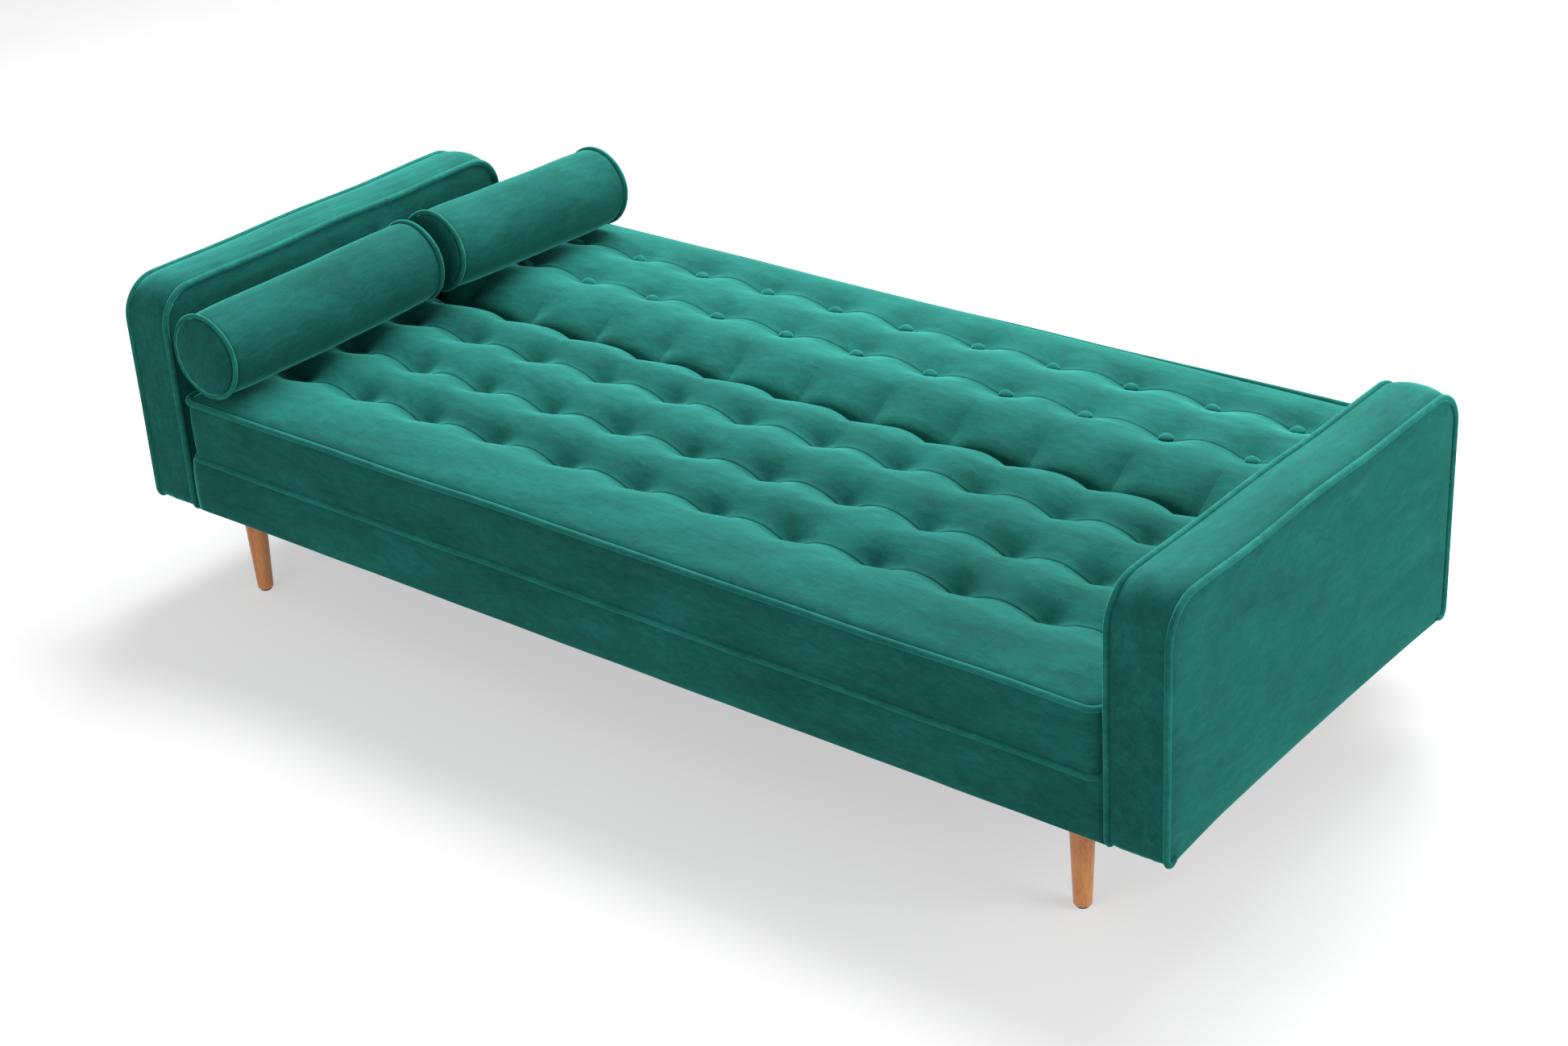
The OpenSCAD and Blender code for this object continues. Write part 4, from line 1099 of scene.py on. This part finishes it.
def make_bolsters():
    """The front bolster, level on the seat, and the rear one, lying with the back's slope."""
    for end, place, seed in (("front", Matrix.Identity(4), 7), ("rear", IN_BACK, 8)):
        low, high = local_box(f"bolster_{end}_piping", place)
        middle = (low + high) / 2
        at = place @ Matrix.Translation((middle.x, low.y - 0.2 * MM, middle.z))
        bolster(f"{end}_bolster", f"bolster_{end}_filling", f"bolster_{end}_cover", f"bolster_{end}_piping",
                f"{end}_bolster", at, high.y - low.y + 0.4 * MM, seed)


# ---------- legs ----------


def make_legs():
    """Round tapered legs, thinner at the foot."""
    for node in ("leg_front_left", "leg_front_right", "leg_rear_left", "leg_rear_right"):
        low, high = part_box(node)
        centre = (low + high) / 2
        top_r = (high.x - low.x) / 2
        foot_r, edge_r = 13.5 * MM, 3 * MM
        profile = [(0, low.z), (foot_r * 0.5, low.z)]
        for angle in np.radians([-90, -65, -40, -15]):
            profile.append((foot_r - edge_r + edge_r * math.cos(angle),
                            low.z + edge_r + edge_r * math.sin(angle)))
        for t in np.linspace(0.05, 0.97, 22):
            profile.append((foot_r + (top_r - foot_r) * t, low.z + edge_r + (high.z - low.z - 4 * MM) * t))
        profile += [(top_r - 0.5 * MM, high.z - 0.3 * MM), (top_r - 1.5 * MM, high.z),
                    (top_r * 0.5, high.z), (0, high.z)]
        piece = add_mesh(node.replace("leg", "turned_leg"), lathe(profile, 56), MATERIALS["leg_wood"],
                         "base", Matrix.Translation((centre.x, centre.y, 0)))
        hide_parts(node)


make_seat()
make_seat_piping()
make_buttons("seat_tuft_buttons", "seat_buttons", SEAT_ROW_Y, buttons_high.z - 8 * MM,
             "base", None, 81, seat_skew)
make_back()
make_back_piping()
make_buttons("back_tuft_buttons", "back_buttons", BACK_ROW_Y, back_buttons_high.z + 6 * MM,
             "back", IN_BACK, 82)
make_back_panel()
for side in ("left", "right"):
    make_arm(side, f"arm_pad_{side}")
    make_arm_piping(side)
wrap("front_wrap", "base_front_cover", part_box("base_front_cover")[0].y, 1)
wrap("rear_wrap", "base_rear_cover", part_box("base_rear_cover")[1].y, -1)
make_dust_cloth()
make_bolsters()
make_legs()

# ---------- floor, light, camera ----------


def make_floor():
    """Pale studio floor, bright enough to run into the background."""
    n = Nodes("studio_floor")
    speck = n.noise(3.0, 2.0, 0.5)
    n.set(Base_Color=n.greys(speck, 0.36, 0.38), Roughness=0.8, Emission_Color=(1.0, 1.0, 1.0),
          Emission_Strength=0.48)
    size, cuts = 24.0, 8
    marks = [size * (k / cuts - 0.5) for k in range(cuts + 1)]
    mesh = bpy.data.meshes.new("floor")
    mesh.from_pydata([(x, y, 0) for y in marks for x in marks], [], cells(cuts + 1, cuts + 1))
    mesh.materials.append(n.material)
    floor = bpy.data.objects.new("floor", mesh)
    bpy.context.scene.collection.objects.link(floor)
    floor.visible_diffuse = False


def area_light(name, place, aim, size, power):
    """A white area light at `place`, turned to `aim`."""
    light = bpy.data.lights.new(name, "AREA")
    light.shape = "RECTANGLE"
    light.size, light.size_y = size
    light.energy = power
    lamp = bpy.data.objects.new(name, light)
    lamp.location = place
    lamp.visible_camera = False
    lamp.rotation_euler = (Vector(aim) - Vector(place)).to_track_quat("-Z", "Y").to_euler()
    bpy.context.scene.collection.objects.link(lamp)


def make_light():
    """A white surround, a large light overhead and two weak ones at the front and side."""
    world = bpy.data.worlds.new("studio")
    world.use_nodes = True
    background = world.node_tree.nodes["Background"]
    background.inputs["Color"].default_value = (1, 1, 1, 1)
    background.inputs["Strength"].default_value = 0.5
    bpy.context.scene.world = world
    area_light("overhead", (-0.6, 1.9, 3.0), (-0.2, 0.0, 0.3), (3.4, 1.8), 310)
    area_light("front_fill", (0.2, -4.2, 1.5), (-0.1, -0.5, 0.3), (3.0, 1.6), 61)
    area_light("side_fill", (3.0, 0.3, 0.9), (1.0, 0, 0.35), (1.4, 1.0), 46)


def make_camera():
    """Camera off the bed's front right corner, looking down along it, with the photograph's slight tilt."""
    data = bpy.data.cameras.new("camera")
    data.lens = 63.9
    data.sensor_width = 36.0
    camera = bpy.data.objects.new("camera", data)
    azimuth, elevation, roll = math.radians(-39.9), math.radians(27.6), math.radians(3.5)
    forward = Vector((math.sin(azimuth) * math.cos(elevation), math.cos(azimuth) * math.cos(elevation),
                      -math.sin(elevation)))
    right = forward.cross(Vector((0, 0, 1))).normalized()
    down = forward.cross(right)
    image_right = math.cos(roll) * right + math.sin(roll) * down
    image_up = -(-math.sin(roll) * right + math.cos(roll) * down)
    camera.matrix_world = Matrix.Translation((2.572, -3.116, 2.280)) @ Matrix(
        (image_right, image_up, -forward)).transposed().to_4x4()
    bpy.context.scene.collection.objects.link(camera)
    bpy.context.scene.camera = camera


make_floor()
make_light()
make_camera()
bpy.context.scene.view_settings.view_transform = "Standard"
